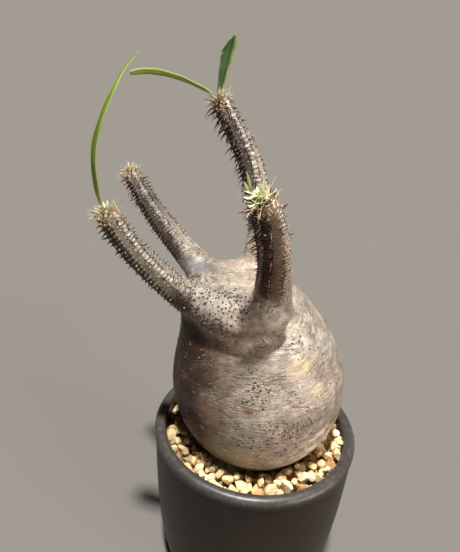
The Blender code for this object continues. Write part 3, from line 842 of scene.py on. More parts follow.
def pumice_stone():
    """The grains: cream, honey, rust and grey by kind, dusty and pitted, with shade painted on those at the
    pot's left.
    """
    f = Finish("pumice_stone")
    tone = f.ramp(
        f.kept("kind"),
        (0.0, (0.84, 0.70, 0.45)),
        (0.25, (0.78, 0.61, 0.35)),
        (0.45, (0.88, 0.77, 0.53)),
        (0.58, (0.90, 0.83, 0.66)),
        (0.70, (0.84, 0.62, 0.33)),
        (0.82, (0.72, 0.44, 0.17)),
        (0.91, (0.42, 0.19, 0.08)),
        (0.95, (0.36, 0.29, 0.22)),
        (1.0, (0.48, 0.41, 0.32)),
    )
    tone = f.mix(f.levels(f.cloud(520, 4, 0.65), 0.45, 0.75, 0.0, 0.4), tone, (0.86, 0.76, 0.58))
    tone = f.mix(f.levels(f.cloud(330, 3), 0.55, 0.8, 0.0, 0.45), tone, (0.42, 0.26, 0.12))
    holes = f.cells(1300)
    tone = f.mix(f.levels(holes, 0.05, 0.25, 0.4, 0.0), tone, (0.25, 0.16, 0.08))
    tone = f.mix(0.5, tone, (1.0, 0.90, 0.70), "MULTIPLY")
    # Painted shade: grains towards the pot's left are darkened
    tone = f.mix(f.times(f.kept("damp"), 0.55), tone, (0.56, 0.50, 0.42), "MULTIPLY")
    broken = f.bump(f.cloud(760, 5, 0.7), 0.9, 0.5 * MM)
    skin = f.bump(f.levels(holes, 0.05, 0.32), 0.6, 0.25 * MM, broken)
    return f.wear(Base_Color=tone, Roughness=0.85, Normal=skin, Specular_IOR_Level=0.3)


class BarkFinish(Finish):
    """The skin's finish, with the notes and the noises that the body and the arms share."""

    def __init__(self):
        super().__init__("silver_bark")
        self.ring, self.arm, self.rib, self.side = map(self.kept, ("ring", "arm", "rib", "side"))
        self.age, self.warm, self.calm, self.dusk = map(self.kept, ("age", "warm", "calm", "dusk"))
        self.middle = self.cloud(150, 6, 0.7, wander=0.4)
        self.fine = self.cloud(1100, 5, 0.75)
        self.lines = self.streaks(self.ring, 2.0, 260)
        self.fine_lines = self.streaks(self.ring, 3.2, 620)

    def ladders(self):
        """On the arms: mm from a spine's foot, 0 to 1 from rung to gap, the turn off the rib, and luck."""
        count, girth = self.kept("count"), self.kept("girth")
        turn = self.calc("ARCTAN2", self.kept("turn_sin"), self.kept("turn_cos"))
        turn = self.less(turn, self.times(count, ROW_TURN / CUSHIONS))
        row = self.calc("ROUND", self.calc("DIVIDE", turn, FIFTH))
        off = self.calc("ABSOLUTE", self.less(turn, self.times(row, FIFTH)))
        first = self.calc("FLOORED_MODULO", self.times(row, 3.0), 5.0)
        step = self.calc("DIVIDE", self.less(count, first), 5.0)
        nearest = self.calc("ROUND", step)
        gap = self.less(step, nearest)
        luck = self.random(self.plus(self.times(nearest, 5.0), first))
        across = self.times(self.less(off, PAIR_SPREAD), girth)
        along = self.times(gap, 1.6)
        squares = [self.calc("POWER", self.calc("ABSOLUTE", way), 2.0) for way in (across, along)]
        apart = self.calc("SQRT", self.plus(*squares))
        return apart, self.times(self.calc("ABSOLUTE", gap), 2.0), off, luck


def body_tone(f):
    """Silver-grey skin: blotches, blush, darker patches, and stains with some painted shade among them, then
    finer and finer mottling.
    """
    tone = f.ramp(
        f.cloud(38, 6, 0.65),
        (0.32, (0.165, 0.127, 0.095)),
        (0.45, (0.265, 0.222, 0.182)),
        (0.57, (0.35, 0.303, 0.253)),
        (0.72, (0.46, 0.415, 0.358)),
    )
    blush = f.levels(f.cloud(52, 4, 0.6, place=f.stretched((1, 1, 1.4))), 0.5, 0.68)
    tone = f.mix(f.times(blush, 0.45), tone, (0.40, 0.255, 0.20))
    darker_patches = f.levels(f.cloud(64, 5, 0.65, wander=0.3), 0.55, 0.72)
    tone = f.mix(f.times(darker_patches, 0.45), tone, (0.145, 0.115, 0.085))
    tone = f.mottled(0.5, tone, f.middle, 0.34, 0.66, 0.25)
    tone = f.mix(f.kept("stain_share"), tone, f.kept("stain", colour=True))
    mottle = f.cloud(300, 4, 0.6, place=f.stretched((1, 1, 1.7)))
    tone = f.mottled(0.3, tone, mottle, 0.36, 0.64)
    broken = f.levels(f.cloud(130, 3), 0.42, 0.62, 0.02, 0.26)
    broken = f.times(broken, f.levels(f.calm, 0.0, 1.0, 1.0, 0.25))
    tone = f.mottled(broken, tone, f.lines, 0.34, 0.66)
    tone = f.mottled(f.levels(f.calm, 0.0, 1.0, 0.22, 0.06), tone, f.fine_lines, 0.35, 0.65)
    return f.mottled(0.32, tone, f.fine, 0.38, 0.62)


def body_marks(f, tone):
    """Seams, painted shade on the left side and under the shoulder, peeling edges, a crack, flakes and
    pores, and what they cut.
    """
    seams = f.threads(f.streaks(f.ring, 0.42, 95), 0.026, 0.005)
    seams = f.times(seams, f.levels(f.cloud(120, 3), 0.42, 0.55))
    tone = f.mix(f.times(seams, 0.6), tone, (0.10, 0.075, 0.055))
    # Painted shade: the body's left and the shoulder's underside darkened brown, in two steps
    tone = f.mix(f.levels(f.dusk, 0.0, 0.75, 0.0, 0.9), tone, (0.29, 0.19, 0.125), "MULTIPLY")
    tone = f.mix(f.levels(f.dusk, 0.45, 1.0, 0.0, 0.9), tone, (0.22, 0.14, 0.085), "MULTIPLY")
    edges = f.threads(f.streaks(f.ring, 0.55, 60), 0.11, 0.02)
    edges = f.times(edges, f.kept("peel"), f.levels(f.cloud(260, 3), 0.42, 0.55))
    tone = f.mix(edges, tone, (0.95, 0.80, 0.60))
    crack = f.plus(f.kept("crack"), f.levels(f.cloud(600, 3), 0.3, 0.7, -0.35, 0.35))
    crack = f.levels(f.calc("ABSOLUTE", crack), 0.2, 0.05)
    tone = f.mix(f.times(crack, 0.8), tone, (0.06, 0.04, 0.03))
    flakes = f.times(f.levels(f.lines, 0.56, 0.66), f.levels(f.cloud(240, 4), 0.52, 0.62))
    tone = f.mix(f.times(flakes, 0.5), tone, (0.60, 0.55, 0.48))
    pores = f.times(f.levels(f.cells(780), 0.2, 0.1), f.levels(f.cloud(85, 2), 0.5, 0.6))
    tone = f.mix(f.times(pores, 0.7), tone, (0.07, 0.05, 0.036))
    return tone, f.calc("MAXIMUM", seams, crack), edges, pores


def limb_tone(f):
    """An arm's skin: cream under the crown, then dark, and grey near the body, with painted light on the
    side that faces the light.
    """
    limb = f.ramp(
        f.age,
        (0.0, (0.80, 0.68, 0.50)),
        (0.06, (0.72, 0.58, 0.42)),
        (0.095, (0.36, 0.27, 0.19)),
        (0.135, (0.13, 0.099, 0.076)),
        (0.4, (0.13, 0.103, 0.082)),
        (0.7, (0.205, 0.168, 0.136)),
        (1.0, (0.37, 0.32, 0.265)),
    )
    groove = f.mix(f.age, (0.105, 0.086, 0.064), (0.22, 0.185, 0.148))
    limb = f.mix(f.levels(f.rib, 0.15, 0.5, 0.95, 0.0), limb, groove)
    harsh = f.levels(f.rib, 0.2, 0.65, 0.3, 0.85)
    limb = f.mottled(harsh, limb, f.middle, 0.38, 0.62)
    limb = f.mottled(0.4, limb, f.fine_lines, 0.36, 0.64)
    limb = f.mottled(harsh, limb, f.fine, 0.38, 0.62)
    # Painted light: the side that faces LIT_WAY is made pale, most on the ribs, then speckled dark and pale
    painted_light = f.times(
        f.levels(f.side, 0.2, 0.7, 0.0, 0.75),
        f.levels(f.rib, 0.25, 0.7, 0.3, 1.0),
        f.levels(f.warm, 0.0, 1.0, 0.62, 1.0),
    )
    limb = f.mix(painted_light, limb, (0.56, 0.49, 0.42))
    grain = f.cloud(1500, 3, 0.7)
    limb = f.mix(f.times(painted_light, f.levels(grain, 0.47, 0.36, 0.0, 1.4)), limb, (0.09, 0.068, 0.052))
    return f.mix(f.times(painted_light, f.levels(grain, 0.53, 0.64, 0.0, 1.4)), limb, (0.84, 0.78, 0.70))


def ladder_marks(f, limb):
    """Dark slots, pale crests and the pits at the spines' feet, and how the cushions stand out."""
    apart, between, off, luck = f.ladders()
    on_rib = f.levels(off, RUNG_EDGE[1], RUNG_EDGE[0])
    uneven = f.cloud(430, 4, 0.65)
    broken_rung = f.plus(between, f.levels(f.cloud(700, 4, 0.65), 0.3, 0.7, -0.42, 0.42))
    # Slots and crests are fainter on the side that faces the light, where light is painted
    slots = f.times(
        on_rib,
        f.levels(broken_rung, 0.42, 0.72),
        f.levels(uneven, 0.35, 0.62, 1.0, 0.5),
        f.levels(f.side, 0.2, 0.75, 1.0, 0.72),
        f.levels(f.age, 0.7, 1.0, 1.0, 0.5),
    )
    limb = f.mix(slots, limb, (0.026, 0.018, 0.014))
    crests = f.times(
        on_rib,
        f.levels(broken_rung, 0.5, 0.2),
        f.levels(uneven, 0.4, 0.58, 0.05, 0.95),
        f.levels(luck, 0.2, 0.7, 0.15, 1.0),
        f.levels(f.side, 0.4, 0.85, 1.0, 0.55),
        f.levels(f.age, 0.55, 1.0, 1.0, 0.4),
    )
    limb = f.mix(crests, limb, f.mix(f.age, (0.60, 0.51, 0.42), (0.72, 0.65, 0.56)))
    ragged = f.plus(
        apart,
        f.levels(uneven, 0.3, 0.7, -0.15, 0.22),
        f.levels(f.random(f.plus(luck, 3.1)), 0.0, 1.0, -0.14, 0.26),
    )
    pits = f.times(f.levels(ragged, 0.66, 0.4), f.levels(uneven, 0.58, 0.46, 0.25, 1.0))
    limb = f.mix(f.times(pits, 0.85), limb, (0.018, 0.012, 0.01))
    return limb, f.less(f.times(on_rib, f.levels(between, 0.7, 0.2)), pits)


def limb_shade(f, limb):
    """Paints shade brown on the arms' left sides, reddens the warm arm and gives each arm's painted light on
    its lit side its own strength.
    """
    # Painted shade on the arms' sides turned from the light
    limb = f.mix(f.levels(f.side, 0.34, -0.35, 0.0, 0.97), limb, (0.26, 0.20, 0.165), "MULTIPLY")
    ruddy = f.times(f.warm, f.levels(f.side, 0.25, 0.65, 0.75, 0.25))
    limb = f.mix(ruddy, limb, (0.90, 0.66, 0.50), "MULTIPLY")
    # Each arm's painted light, scaled by its own factor and fading towards the body
    painted_light_side = f.times(f.levels(f.side, 0.0, 0.45), f.levels(f.age, 0.92, 0.55))
    return f.mix(painted_light_side, limb, f.kept("shine"), "MULTIPLY")


def silver_bark():
    """Skin of the caudex and arms: fine rings, stains and painted shade on the body, ribs and rungs on the
    arms, with light and shade painted on the arms' sides.
    """
    f = BarkFinish()
    body, cuts, edges, pores = body_marks(f, body_tone(f))
    limb, cushions = ladder_marks(f, limb_tone(f))
    relief = f.plus(f.times(f.lines, 0.8), f.times(f.fine_lines, 0.5), f.times(f.fine, 0.5))
    relief = f.times(relief, f.levels(f.calm, 0.0, 1.0, 1.0, 0.4))
    relief = f.plus(f.less(relief, f.times(cuts, 0.7)), f.times(edges, 0.8))
    skin = f.bump(relief, 0.9, 0.3 * MM)
    skin = f.bump(f.times(cushions, f.arm), 0.8, 0.22 * MM, skin)
    # Less sheen where shade is painted, and on the arms' sides turned from the light
    shaded = f.calc("MAXIMUM", f.dusk, f.times(f.arm, f.levels(f.side, 0.1, -0.7)))
    return f.wear(
        Base_Color=f.mix(f.arm, body, limb_shade(f, limb)),
        Roughness=f.levels(f.middle, 0.3, 0.7, 0.33, 0.5),
        Normal=f.bump(pores, 0.6, -0.15 * MM, skin),
        Specular_IOR_Level=f.levels(shaded, 0.1, 1.0, 0.5, 0.12),
    )


def horn():
    """Spines: brown and pale tipped when young, black and worn lower down."""
    f = Finish("horn")
    age, up, luck = map(f.kept, ("age", "up", "luck"))
    root = f.ramp(
        age,
        (0.0, (0.17, 0.085, 0.05)),
        (0.06, (0.05, 0.027, 0.02)),
        (0.3, (0.024, 0.016, 0.013)),
        (1.0, (0.03, 0.021, 0.016)),
    )
    tip = f.ramp(
        age,
        (0.0, (0.66, 0.47, 0.32)),
        (0.08, (0.20, 0.12, 0.085)),
        (0.25, (0.05, 0.033, 0.026)),
        (1.0, (0.08, 0.06, 0.05)),
    )
    tone = f.mix(f.levels(up, 0.4, 0.95), root, tip)
    pink = f.times(f.levels(luck, 0.95, 0.97), f.levels(age, 0.75, 0.3), 0.85)
    tone = f.mix(pink, tone, (0.46, 0.24, 0.17))
    pale = f.times(f.levels(luck, 0.28, 0.22), f.levels(up, 0.5, 0.8), 0.7)
    tone = f.mix(pale, tone, (0.55, 0.45, 0.36))
    red = f.times(f.kept("warm"), f.levels(luck, 0.3, 0.6, 0.2, 0.9))
    tone = f.mix(red, tone, f.ramp(up, (0.3, (0.10, 0.032, 0.02)), (0.9, (0.38, 0.19, 0.13))))
    tone = f.mottled(0.4, tone, f.cloud(1400), 0.3, 0.7, 0.25)
    return f.wear(Base_Color=tone, Roughness=0.3, Normal=f.bump(f.cloud(2600), 0.3, 0.04 * MM))


def scar_tissue():
    """Old scars are dark, some with a paler rim that is partly painted highlight, and leaf scars on the
    cushions are pale.
    """
    f = Finish("scar_tissue")
    luck, up, kind = map(f.kept, ("luck", "up", "kind"))
    dark = f.ramp(luck, (0.0, (0.018, 0.013, 0.01)), (1.0, (0.06, 0.042, 0.032)))
    # A paler rim on some scars: partly painted highlight
    rim = f.times(f.levels(up, 0.5, 0.8), f.levels(luck, 0.6, 0.7), 0.8)
    tone = f.mix(rim, dark, (0.46, 0.40, 0.33))
    tone = f.mix(kind, tone, f.ramp(luck, (0.3, (0.24, 0.19, 0.15)), (1.0, (0.72, 0.65, 0.56))))
    tone = f.mottled(0.4, tone, f.cloud(2400), 0.3, 0.7, 0.25)
    return f.wear(Base_Color=tone, Roughness=0.36, Normal=f.bump(f.cloud(3000), 0.4, 0.05 * MM))


def crown_green():
    """Young leaves, bristles, scales and the downy core of a crown, told apart by kind."""
    f = Finish("crown_green")
    kind, up, luck = map(f.kept, ("kind", "up", "luck"))
    leaf = f.ramp(
        up,
        (0.0, (0.34, 0.38, 0.17)),
        (0.25, (0.55, 0.56, 0.32)),
        (0.6, (0.73, 0.71, 0.49)),
        (1.0, (0.86, 0.78, 0.62)),
    )
    leaf = f.mix(f.levels(luck, 0.62, 0.9, 0.0, 0.8), leaf, (0.20, 0.235, 0.085))
    bristle = f.ramp(
        up,
        (0.0, (0.60, 0.46, 0.32)),
        (0.45, (0.52, 0.36, 0.26)),
        (0.8, (0.76, 0.62, 0.50)),
        (1.0, (0.86, 0.80, 0.72)),
    )
    scale = f.ramp(
        luck,
        (0.0, (0.60, 0.43, 0.28)),
        (0.35, (0.74, 0.62, 0.45)),
        (0.6, (0.66, 0.62, 0.40)),
        (0.8, (0.44, 0.34, 0.25)),
        (1.0, (0.16, 0.11, 0.08)),
    )
    core = f.ramp(f.cloud(1200, 4), (0.35, (0.11, 0.13, 0.035)), (0.6, (0.50, 0.47, 0.25)))
    tone = leaf
    for before, look in ((LEAF_KIND, bristle), (BRISTLE_KIND, scale), (SCALE_KIND, core)):
        tone = f.mix(f.levels(kind, before + 0.5, before + 0.51), tone, look)
    tone = f.mottled(0.4, tone, f.cloud(1600), 0.3, 0.7, 0.2)
    return f.wear(
        Base_Color=tone,
        Roughness=0.5,
        Normal=f.bump(f.cloud(1800), 0.4, 0.08 * MM),
        Subsurface_Weight=0.1,
        Subsurface_Scale=0.5 * MM,
    )


def leaf_green(name, deep):
    """A long leaf: pale midrib and edges, one edge's pale margin partly a painted highlight, faint side
    veins; deep is its share of blue-green.
    """
    f = Finish(name)
    across, along = f.kept("across"), f.kept("along")
    off = f.calc("ABSOLUTE", across)
    blotch = f.cloud(90, 3)
    bright = f.ramp(blotch, (0.3, (0.115, 0.185, 0.010)), (0.7, (0.19, 0.27, 0.022)))
    dark = f.ramp(blotch, (0.3, (0.028, 0.08, 0.03)), (0.7, (0.065, 0.15, 0.06)))
    veins = f.calc("SINE", f.plus(f.times(along, 160), f.times(off, -9)))
    midrib = f.levels(off, 0.2, 0.08)
    tone = f.mix(deep, bright, dark)
    for share, colour in (
        (f.levels(veins, 0.3, 1.0, 0.0, 0.07), (0.30, 0.42, 0.14)),
        (f.times(midrib, 0.5 - 0.42 * deep), (0.34, 0.42, 0.15)),
        (f.times(f.levels(across, 0.5, 0.72), 0.8), (0.44, 0.54, 0.20)),
        # A pale margin along one edge, on the arched leaf turned to its upper edge: partly the leaf's own
        # pale margin, partly painted highlight
        (f.times(f.levels(across, -0.86, -0.97), 0.7), (0.60, 0.64, 0.46)),
        (f.times(f.levels(along, 0.12, 0.0), 0.7), (0.55, 0.60, 0.30)),
    ):
        tone = f.mix(share, tone, colour)
    return f.wear(
        Base_Color=tone,
        Roughness=f.levels(blotch, 0.3, 0.7, 0.4, 0.5),
        Normal=f.bump(f.plus(midrib, f.levels(veins, 0.2, 1.0, 0.0, 0.2)), 0.3, 0.08 * MM),
        Subsurface_Weight=0.1,
        Subsurface_Scale=0.5 * MM,
        Specular_IOR_Level=0.28,
    )


# Pot, soil and pumice


def wall_radius(height):
    """The pot's outer radius: a cup that rounds in towards its foot."""
    share = np.clip((height - FOOT_HEIGHT) / (POT_HEIGHT - FOOT_HEIGHT), 0, 1)
    bottom = FOOT_RADIUS + FOOT_STEP
    top = RIM_RADIUS - LIP_OVERHANG
    return bottom + (top - bottom) * (1 - (1 - share) ** WALL_ROUND) ** (1 / WALL_ROUND)


def pot_outline():
    """(radius, height) round half of the pot: foot, wall, rolled lip, inner wall and floor."""
    edge = FOOT_EDGE
    outline = [
        (FOOT_RADIUS - edge, 0),
        (FOOT_RADIUS - 0.2 * edge, 0.25 * edge),
        (FOOT_RADIUS, edge),
        (FOOT_RADIUS, FOOT_HEIGHT - edge),
        (FOOT_RADIUS + 0.3 * edge, FOOT_HEIGHT - 0.3 * edge),
        (FOOT_RADIUS + edge, FOOT_HEIGHT),
    ]
    outline += [(wall_radius(FOOT_HEIGHT + rise), FOOT_HEIGHT + rise) for rise in WALL_RISES]
    outline += [(wall_radius(h), h) for h in np.linspace(10 * MM, LIP_FROM, 20)]
    centre = (RIM_RADIUS - LIP_RADIUS, POT_HEIGHT - LIP_RADIUS)
    for turn in np.radians(np.linspace(-20, 200, 19)):
        outline.append((centre[0] + LIP_RADIUS * math.cos(turn), centre[1] + LIP_RADIUS * math.sin(turn)))
    outline += [(wall_radius(h) - WALL_THICKNESS, h) for h in np.linspace(LIP_FROM, INNER_FOOT, 12)]
    corner = wall_radius(INNER_FOOT) - WALL_THICKNESS
    outline += [(corner - inwards, height) for inwards, height in INNER_CORNER]
    return outline + [(radius, FLOOR_THICKNESS) for radius in FLOOR_RINGS]


def cut(piece, cutter):
    modify(piece, "BOOLEAN", operation="DIFFERENCE", object=cutter, solver="EXACT")
    drop(cutter)


def make_pot():
    """The turned pot, with drain holes and a groove out from each of them."""
    pot = draw_rings("fired_pot", [(0, 0, z, r) for r, z in pot_outline()], POT_SIDES)
    for k in range(DRAIN_COUNT):
        turn = 2 * math.pi * (k + 0.25) / DRAIN_COUNT
        c, s = math.cos(turn), math.sin(turn)
        bpy.ops.mesh.primitive_cylinder_add(
            vertices=32,
            radius=DRAIN_RADIUS,
            depth=4 * FLOOR_THICKNESS,
            location=(DRAIN_CIRCLE * c, DRAIN_CIRCLE * s, 0),
        )
        cut(pot, bpy.context.object)
        reach = DRAIN_CIRCLE + FOOT_RADIUS / 2
        bpy.ops.mesh.primitive_cube_add(
            size=1,
            location=(reach * c, reach * s, 0),
            rotation=(0, 0, turn),
            scale=(FOOT_RADIUS, GROOVE_WIDTH, 2 * GROOVE_DEPTH),
        )
        cut(pot, bpy.context.object)
    shade_round(pot, 32)
    return settle(pot, charcoal_glaze(), "pot", "pot")


def root_radius(height):
    """The caudex's radius at a height, in metres."""
    stations = np.array(CAUDEX) * MM
    return np.interp(height, stations[:, 0], stations[:, 1])


def moat(x, y):
    """How far the pumice stands off the caudex: most at the left, where it has sunk."""
    left = 0.5 + 0.5 * np.cos(np.arctan2(y, x) - MOAT_TURN)
    return MOAT_WIDTH * smooth_step(left, *MOAT_FADE)


def wallwards(out, at_caudex, at_wall):
    """A height that rises evenly from the caudex to the wall, this far out from the pot's axis."""
    share = max(0, (out - CAUDEX_AT_PUMICE) / (RIM_RADIUS - CAUDEX_AT_PUMICE))
    return at_caudex + share * (at_wall - at_caudex)


def make_pumice_bed():
    """The dusty gravel under the grains, from the soil up, round the caudex."""
    wall = wall_radius(BED_BOTTOM) - WALL_THICKNESS - 0.3 * MM
    top = wall_radius(BED_AT_WALL) - WALL_THICKNESS - 0.25 * MM
    rings = [(0, 0, BED_BOTTOM, BED_HOLE), (0, 0, BED_BOTTOM, wall)]
    for radius in np.linspace(top, CAUDEX_AT_PUMICE - 4 * MM, 10):
        rings.append((0, 0, wallwards(radius, BED_AT_CAUDEX, BED_AT_WALL), radius))
    rings.append((0, 0, BED_AT_CAUDEX, BED_HOLE))
    bed = draw_rings("pumice_bed", rings, BED_SIDES)
    points = points_of(bed)
    upper = smooth_step(points[:, 2], BED_BOTTOM + 2 * MM, BED_BOTTOM + 3 * MM)
    points[:, 2] += upper * (0.5 * rough(points, 2.4 * MM, 3) + 0.5 * rough(points, 1.1 * MM, 4)) * MM
    set_points(bed, points)
    shade_round(bed)
    return settle(bed, pumice_dust(), "pumice")


def draw_grain(name, seed):
    """A broken stone: a round lump with flats cut off it and its edges worn."""
    rng = random.Random(seed)
    grain = begin_piece(name, bpy.ops.mesh.primitive_ico_sphere_add, subdivisions=2, radius=1)
    edit(grain)
    for _ in range(GRAIN_FLATS):
        way = Vector([rng.gauss(0, 1) for _ in range(3)]).normalized()
        place = tuple(way * rng.uniform(*FLATS_OUT))
        bpy.ops.mesh.select_all(action="SELECT")
        bpy.ops.mesh.bisect(plane_co=place, plane_no=tuple(way), use_fill=True, clear_outer=True)
    bpy.ops.mesh.select_all(action="SELECT")
    bpy.ops.mesh.remove_doubles(threshold=0.12)
    bpy.ops.mesh.quads_convert_to_tris()
    bpy.ops.mesh.select_all(action="SELECT")
    bpy.ops.mesh.vertices_smooth(factor=0.04, repeat=1)
    bpy.ops.mesh.normals_make_consistent(inside=False)
    leave_edit()
    return grain


def resting_height(laid, x, y, radius):
    """How high a grain's middle comes to rest, on the bed or on the grains laid below it."""
    rest = wallwards(math.hypot(x, y), BED_AT_CAUDEX, BED_AT_WALL) + GRAIN_SUNK * radius
    if len(laid):
        apart = np.hypot(laid[:, 0] - x, laid[:, 1] - y)
        touch = GRAIN_TOUCH * (laid[:, 3] + radius)
        near = apart < touch
        if near.any():
            rest = max(rest, (laid[near, 2] + np.sqrt(touch[near] ** 2 - apart[near] ** 2)).max())
    return rest


def has_room(x, y, rest, radius):
    """Whether a grain stays under the heap's top and clear of the pot's wall and the caudex."""
    out = math.hypot(x, y)
    above = rest + GRAIN_RISE * radius
    top = wallwards(out, GRAIN_TOP_AT_CAUDEX, GRAIN_TOP_AT_WALL) - moat(x, y) * 0.9
    if above > top or out + 0.95 * radius > wall_radius(rest) - WALL_THICKNESS:
        return False
    from_root = math.hypot(x - ROOT_CENTRE[0], y - ROOT_CENTRE[1])
    return from_root - 0.9 * radius >= root_radius(above) - 0.1 * MM + moat(x, y)


def drop_grains(rng):
    """Where the grains come to rest: (x, y, z, radius), each at the lowest of a few places tried."""
    laid = np.empty((0, 4))
    least, most = GRAIN_RADIUS
    sizes = sorted(least + (most - least) * rng.betavariate(1.8, 2.6) for _ in range(GRAIN_COUNT))
    rng.shuffle(sizes)
    for radius in sizes:
        best = None
        for _ in range(GRAIN_TRIES):
            out = math.sqrt(rng.uniform((CAUDEX_AT_PUMICE - 3 * MM) ** 2, GRAINS_OUT_TO**2))
            turn = rng.uniform(0, 2 * math.pi)
            x, y = out * math.cos(turn), out * math.sin(turn)
            rest = resting_height(laid, x, y, radius)
            if has_room(x, y, rest, radius) and (best is None or rest < best[2]):
                best = (x, y, rest, radius)
        if best:
            laid = np.vstack([laid, best])
    return laid


def random_turn(rng):
    """A turn about a random axis, as a matrix."""
    axis = Vector([rng.gauss(0, 1) for _ in range(3)]).normalized()
    return np.array(Matrix.Rotation(rng.uniform(0, 2 * math.pi), 3, axis))


def make_pumice():
    """The grains: a few kinds of broken stone, dropped one on another."""
    rng = random.Random(23)
    laid = drop_grains(rng)
    patterns = [draw_grain(f"grain_pattern_{k}", 40 + k) for k in range(GRAIN_PATTERNS)]
    groups = []
    for k, pattern in enumerate(patterns):
        mine = laid[k :: len(patterns)]
        turns = np.array([random_turn(rng) for _ in mine])
        frames = np.concatenate([turns, mine[:, :3, None]], axis=2)
        spread = np.array([[rng.uniform(*span) for span in GRAIN_SPREAD] for _ in mine])
        kinds = [rng.random() ** 1.25 for _ in mine]
        turn = np.degrees(np.arctan2(mine[:, 1], mine[:, 0])) % 360
        # Painted shade on the grains towards the pot's left
        damp = within(turn, *PAINTED_GRAIN_SHADE_TURNS)
        sizes = spread * mine[:, 3:4] * GRAIN_SWELL
        groups.append(copies(f"grains_{k}", pattern, frames, sizes, kind=kinds, damp=damp))
        drop(pattern)
    pumice = join(groups[0], groups[1:])
    pumice.name = pumice.data.name = "pumice_grains"
    shade_round(pumice, 20)
    return settle(pumice, pumice_stone(), "pumice", "pumice")


# Caudex and arms


class Arm:
    """An arm's centreline, radius, length and frames, read at any distance along it."""

    def __init__(self, name, stations):
        rows = evenly(np.array(stations) * MM, ARM_SAMPLES)
        self.name = name
        self.points, self.radius = rows[:, :3], rows[:, 3]
        steps = np.linalg.norm(np.diff(self.points, axis=0), axis=1)
        self.along = np.concatenate([[0], np.cumsum(steps)])
        self.length = self.along[-1]
        self.tangent, side, across = travelling_frames(self.points)
        c, s = math.cos(FIRST_ROW.get(name, 0)), math.sin(FIRST_ROW.get(name, 0))
        self.side, self.across = side * c + across * s, across * c - side * s
        self.stray = STRAY.get(name, 1.0)
        begin = LADDER_FROM.get(name, 0)
        self.ladder_from = begin * self.length
        self.pitch = (LADDER_TO - begin) * self.length / CUSHIONS

    def at(self, along, values):
        return np.column_stack([np.interp(along, self.along, column) for column in values.T])

    def radius_at(self, along):
        return np.interp(along, self.along, self.radius)

    def out(self, along, turn):
        """The way out from the centreline at a turn."""
        side, across = self.at(along, self.side)[0], self.at(along, self.across)[0]
        return side * math.cos(turn) + across * math.sin(turn)

    def place(self, along, turn):
        """A point on the arm's surface."""
        return self.at(along, self.points)[0] + self.out(along, turn) * float(self.radius_at(along))

    def nearest(self, points):
        """For each point: how far along the arm it is, its distance from the centreline, its turn."""
        along, apart, turn = [], [], []
        squares = (self.points**2).sum(1)
        for chunk in np.array_split(points, max(1, len(points) // 20000)):
            gaps = squares[None] - 2 * chunk @ self.points.T
            near = gaps.argmin(1)
            ahead = ((chunk - self.points[near]) * self.tangent[near]).sum(1)
            where = np.clip(self.along[near] + ahead, 0, self.length)
            out = chunk - self.at(where, self.points)
            along.append(where)
            apart.append(np.linalg.norm(out, axis=1))
            sideways = (out * self.at(where, self.side)).sum(1)
            turn.append(np.arctan2((out * self.at(where, self.across)).sum(1), sideways))
        return np.concatenate(along), np.concatenate(apart), np.concatenate(turn)

    def ladder(self, along, turn):
        """At places on the arm: the cushions counted to there, and rib and rung from 0 to 1."""
        count = (along - self.ladder_from) / self.pitch - 0.5
        local = turn - count * ROW_TURN / CUSHIONS
        row = np.round(local / FIFTH)
        rib = (0.5 + 0.5 * np.cos(5 * local)) ** 0.8
        step = (count - (3 * row) % 5) / 5
        gap = (step - np.round(step)) * 5 * self.pitch
        across = 1 - smooth_step(np.abs(local - row * FIFTH), *RUNG_EDGE)
        return count, rib, np.exp(-((gap / RUNG_HALF) ** 2)) * across

    def cushions(self, start):
        """(along, turn) of each cushion from start on, strayed a little from even spacing."""
        for k in range(CUSHIONS):
            along = self.ladder_from + (k + 0.5) * self.pitch
            if along < start:
                continue
            turn = k * CUSHION_TURN
            wander = self.stray * wander_at([self.place(along, turn)])[0]
            yield along - RUNG_WANDER * wander, turn - TURN_WANDER * wander


def wander_at(points):
    """How far the cushions stray from their even spacing, from -1 to 1."""
    return rough(points, 2.6 * MM, 12)


def draw_arm(arm):
    """An arm as a round bar that thins along its route."""
    limb = begin_piece(arm.name, bpy.ops.curve.primitive_nurbs_path_add)
    limb.data.splines.clear()
    line = limb.data.splines.new("POLY")
    points, radius = arm.points[::ARM_STEP], arm.radius[::ARM_STEP]
    line.points.add(len(points) - 1)
    for knot, place, size in zip(line.points, points, radius):
        knot.co = (*place, 1)
        knot.radius = size / MM
    limb.data.bevel_depth = MM
    limb.data.bevel_resolution = 8
    limb.data.use_fill_caps = True
    bpy.ops.object.convert(target="MESH")
    return bpy.context.object


def fork_share(points):
    """1 in the middle of the fork, 0 out on the arms and down the body."""
    near = 1 - np.linalg.norm(points - FORK_CENTRE, axis=1) / FORK_REACH
    fold = 1 - smooth_step(points[:, 2] / MM, *FOLD_BELOW)
    fold *= 1 - smooth_step(points[:, 1] / MM, *FOLD_BEFORE)
    return np.clip(2.5 * near, 0, 1) * (1 - 0.6 * fold)


def group_of(piece, name, weights):
    """A vertex group with these weights."""
    group = piece.vertex_groups.new(name=name)
    for index in np.nonzero(weights > 0.01)[0]:
        group.add([int(index)], float(weights[index]), "REPLACE")
    return group


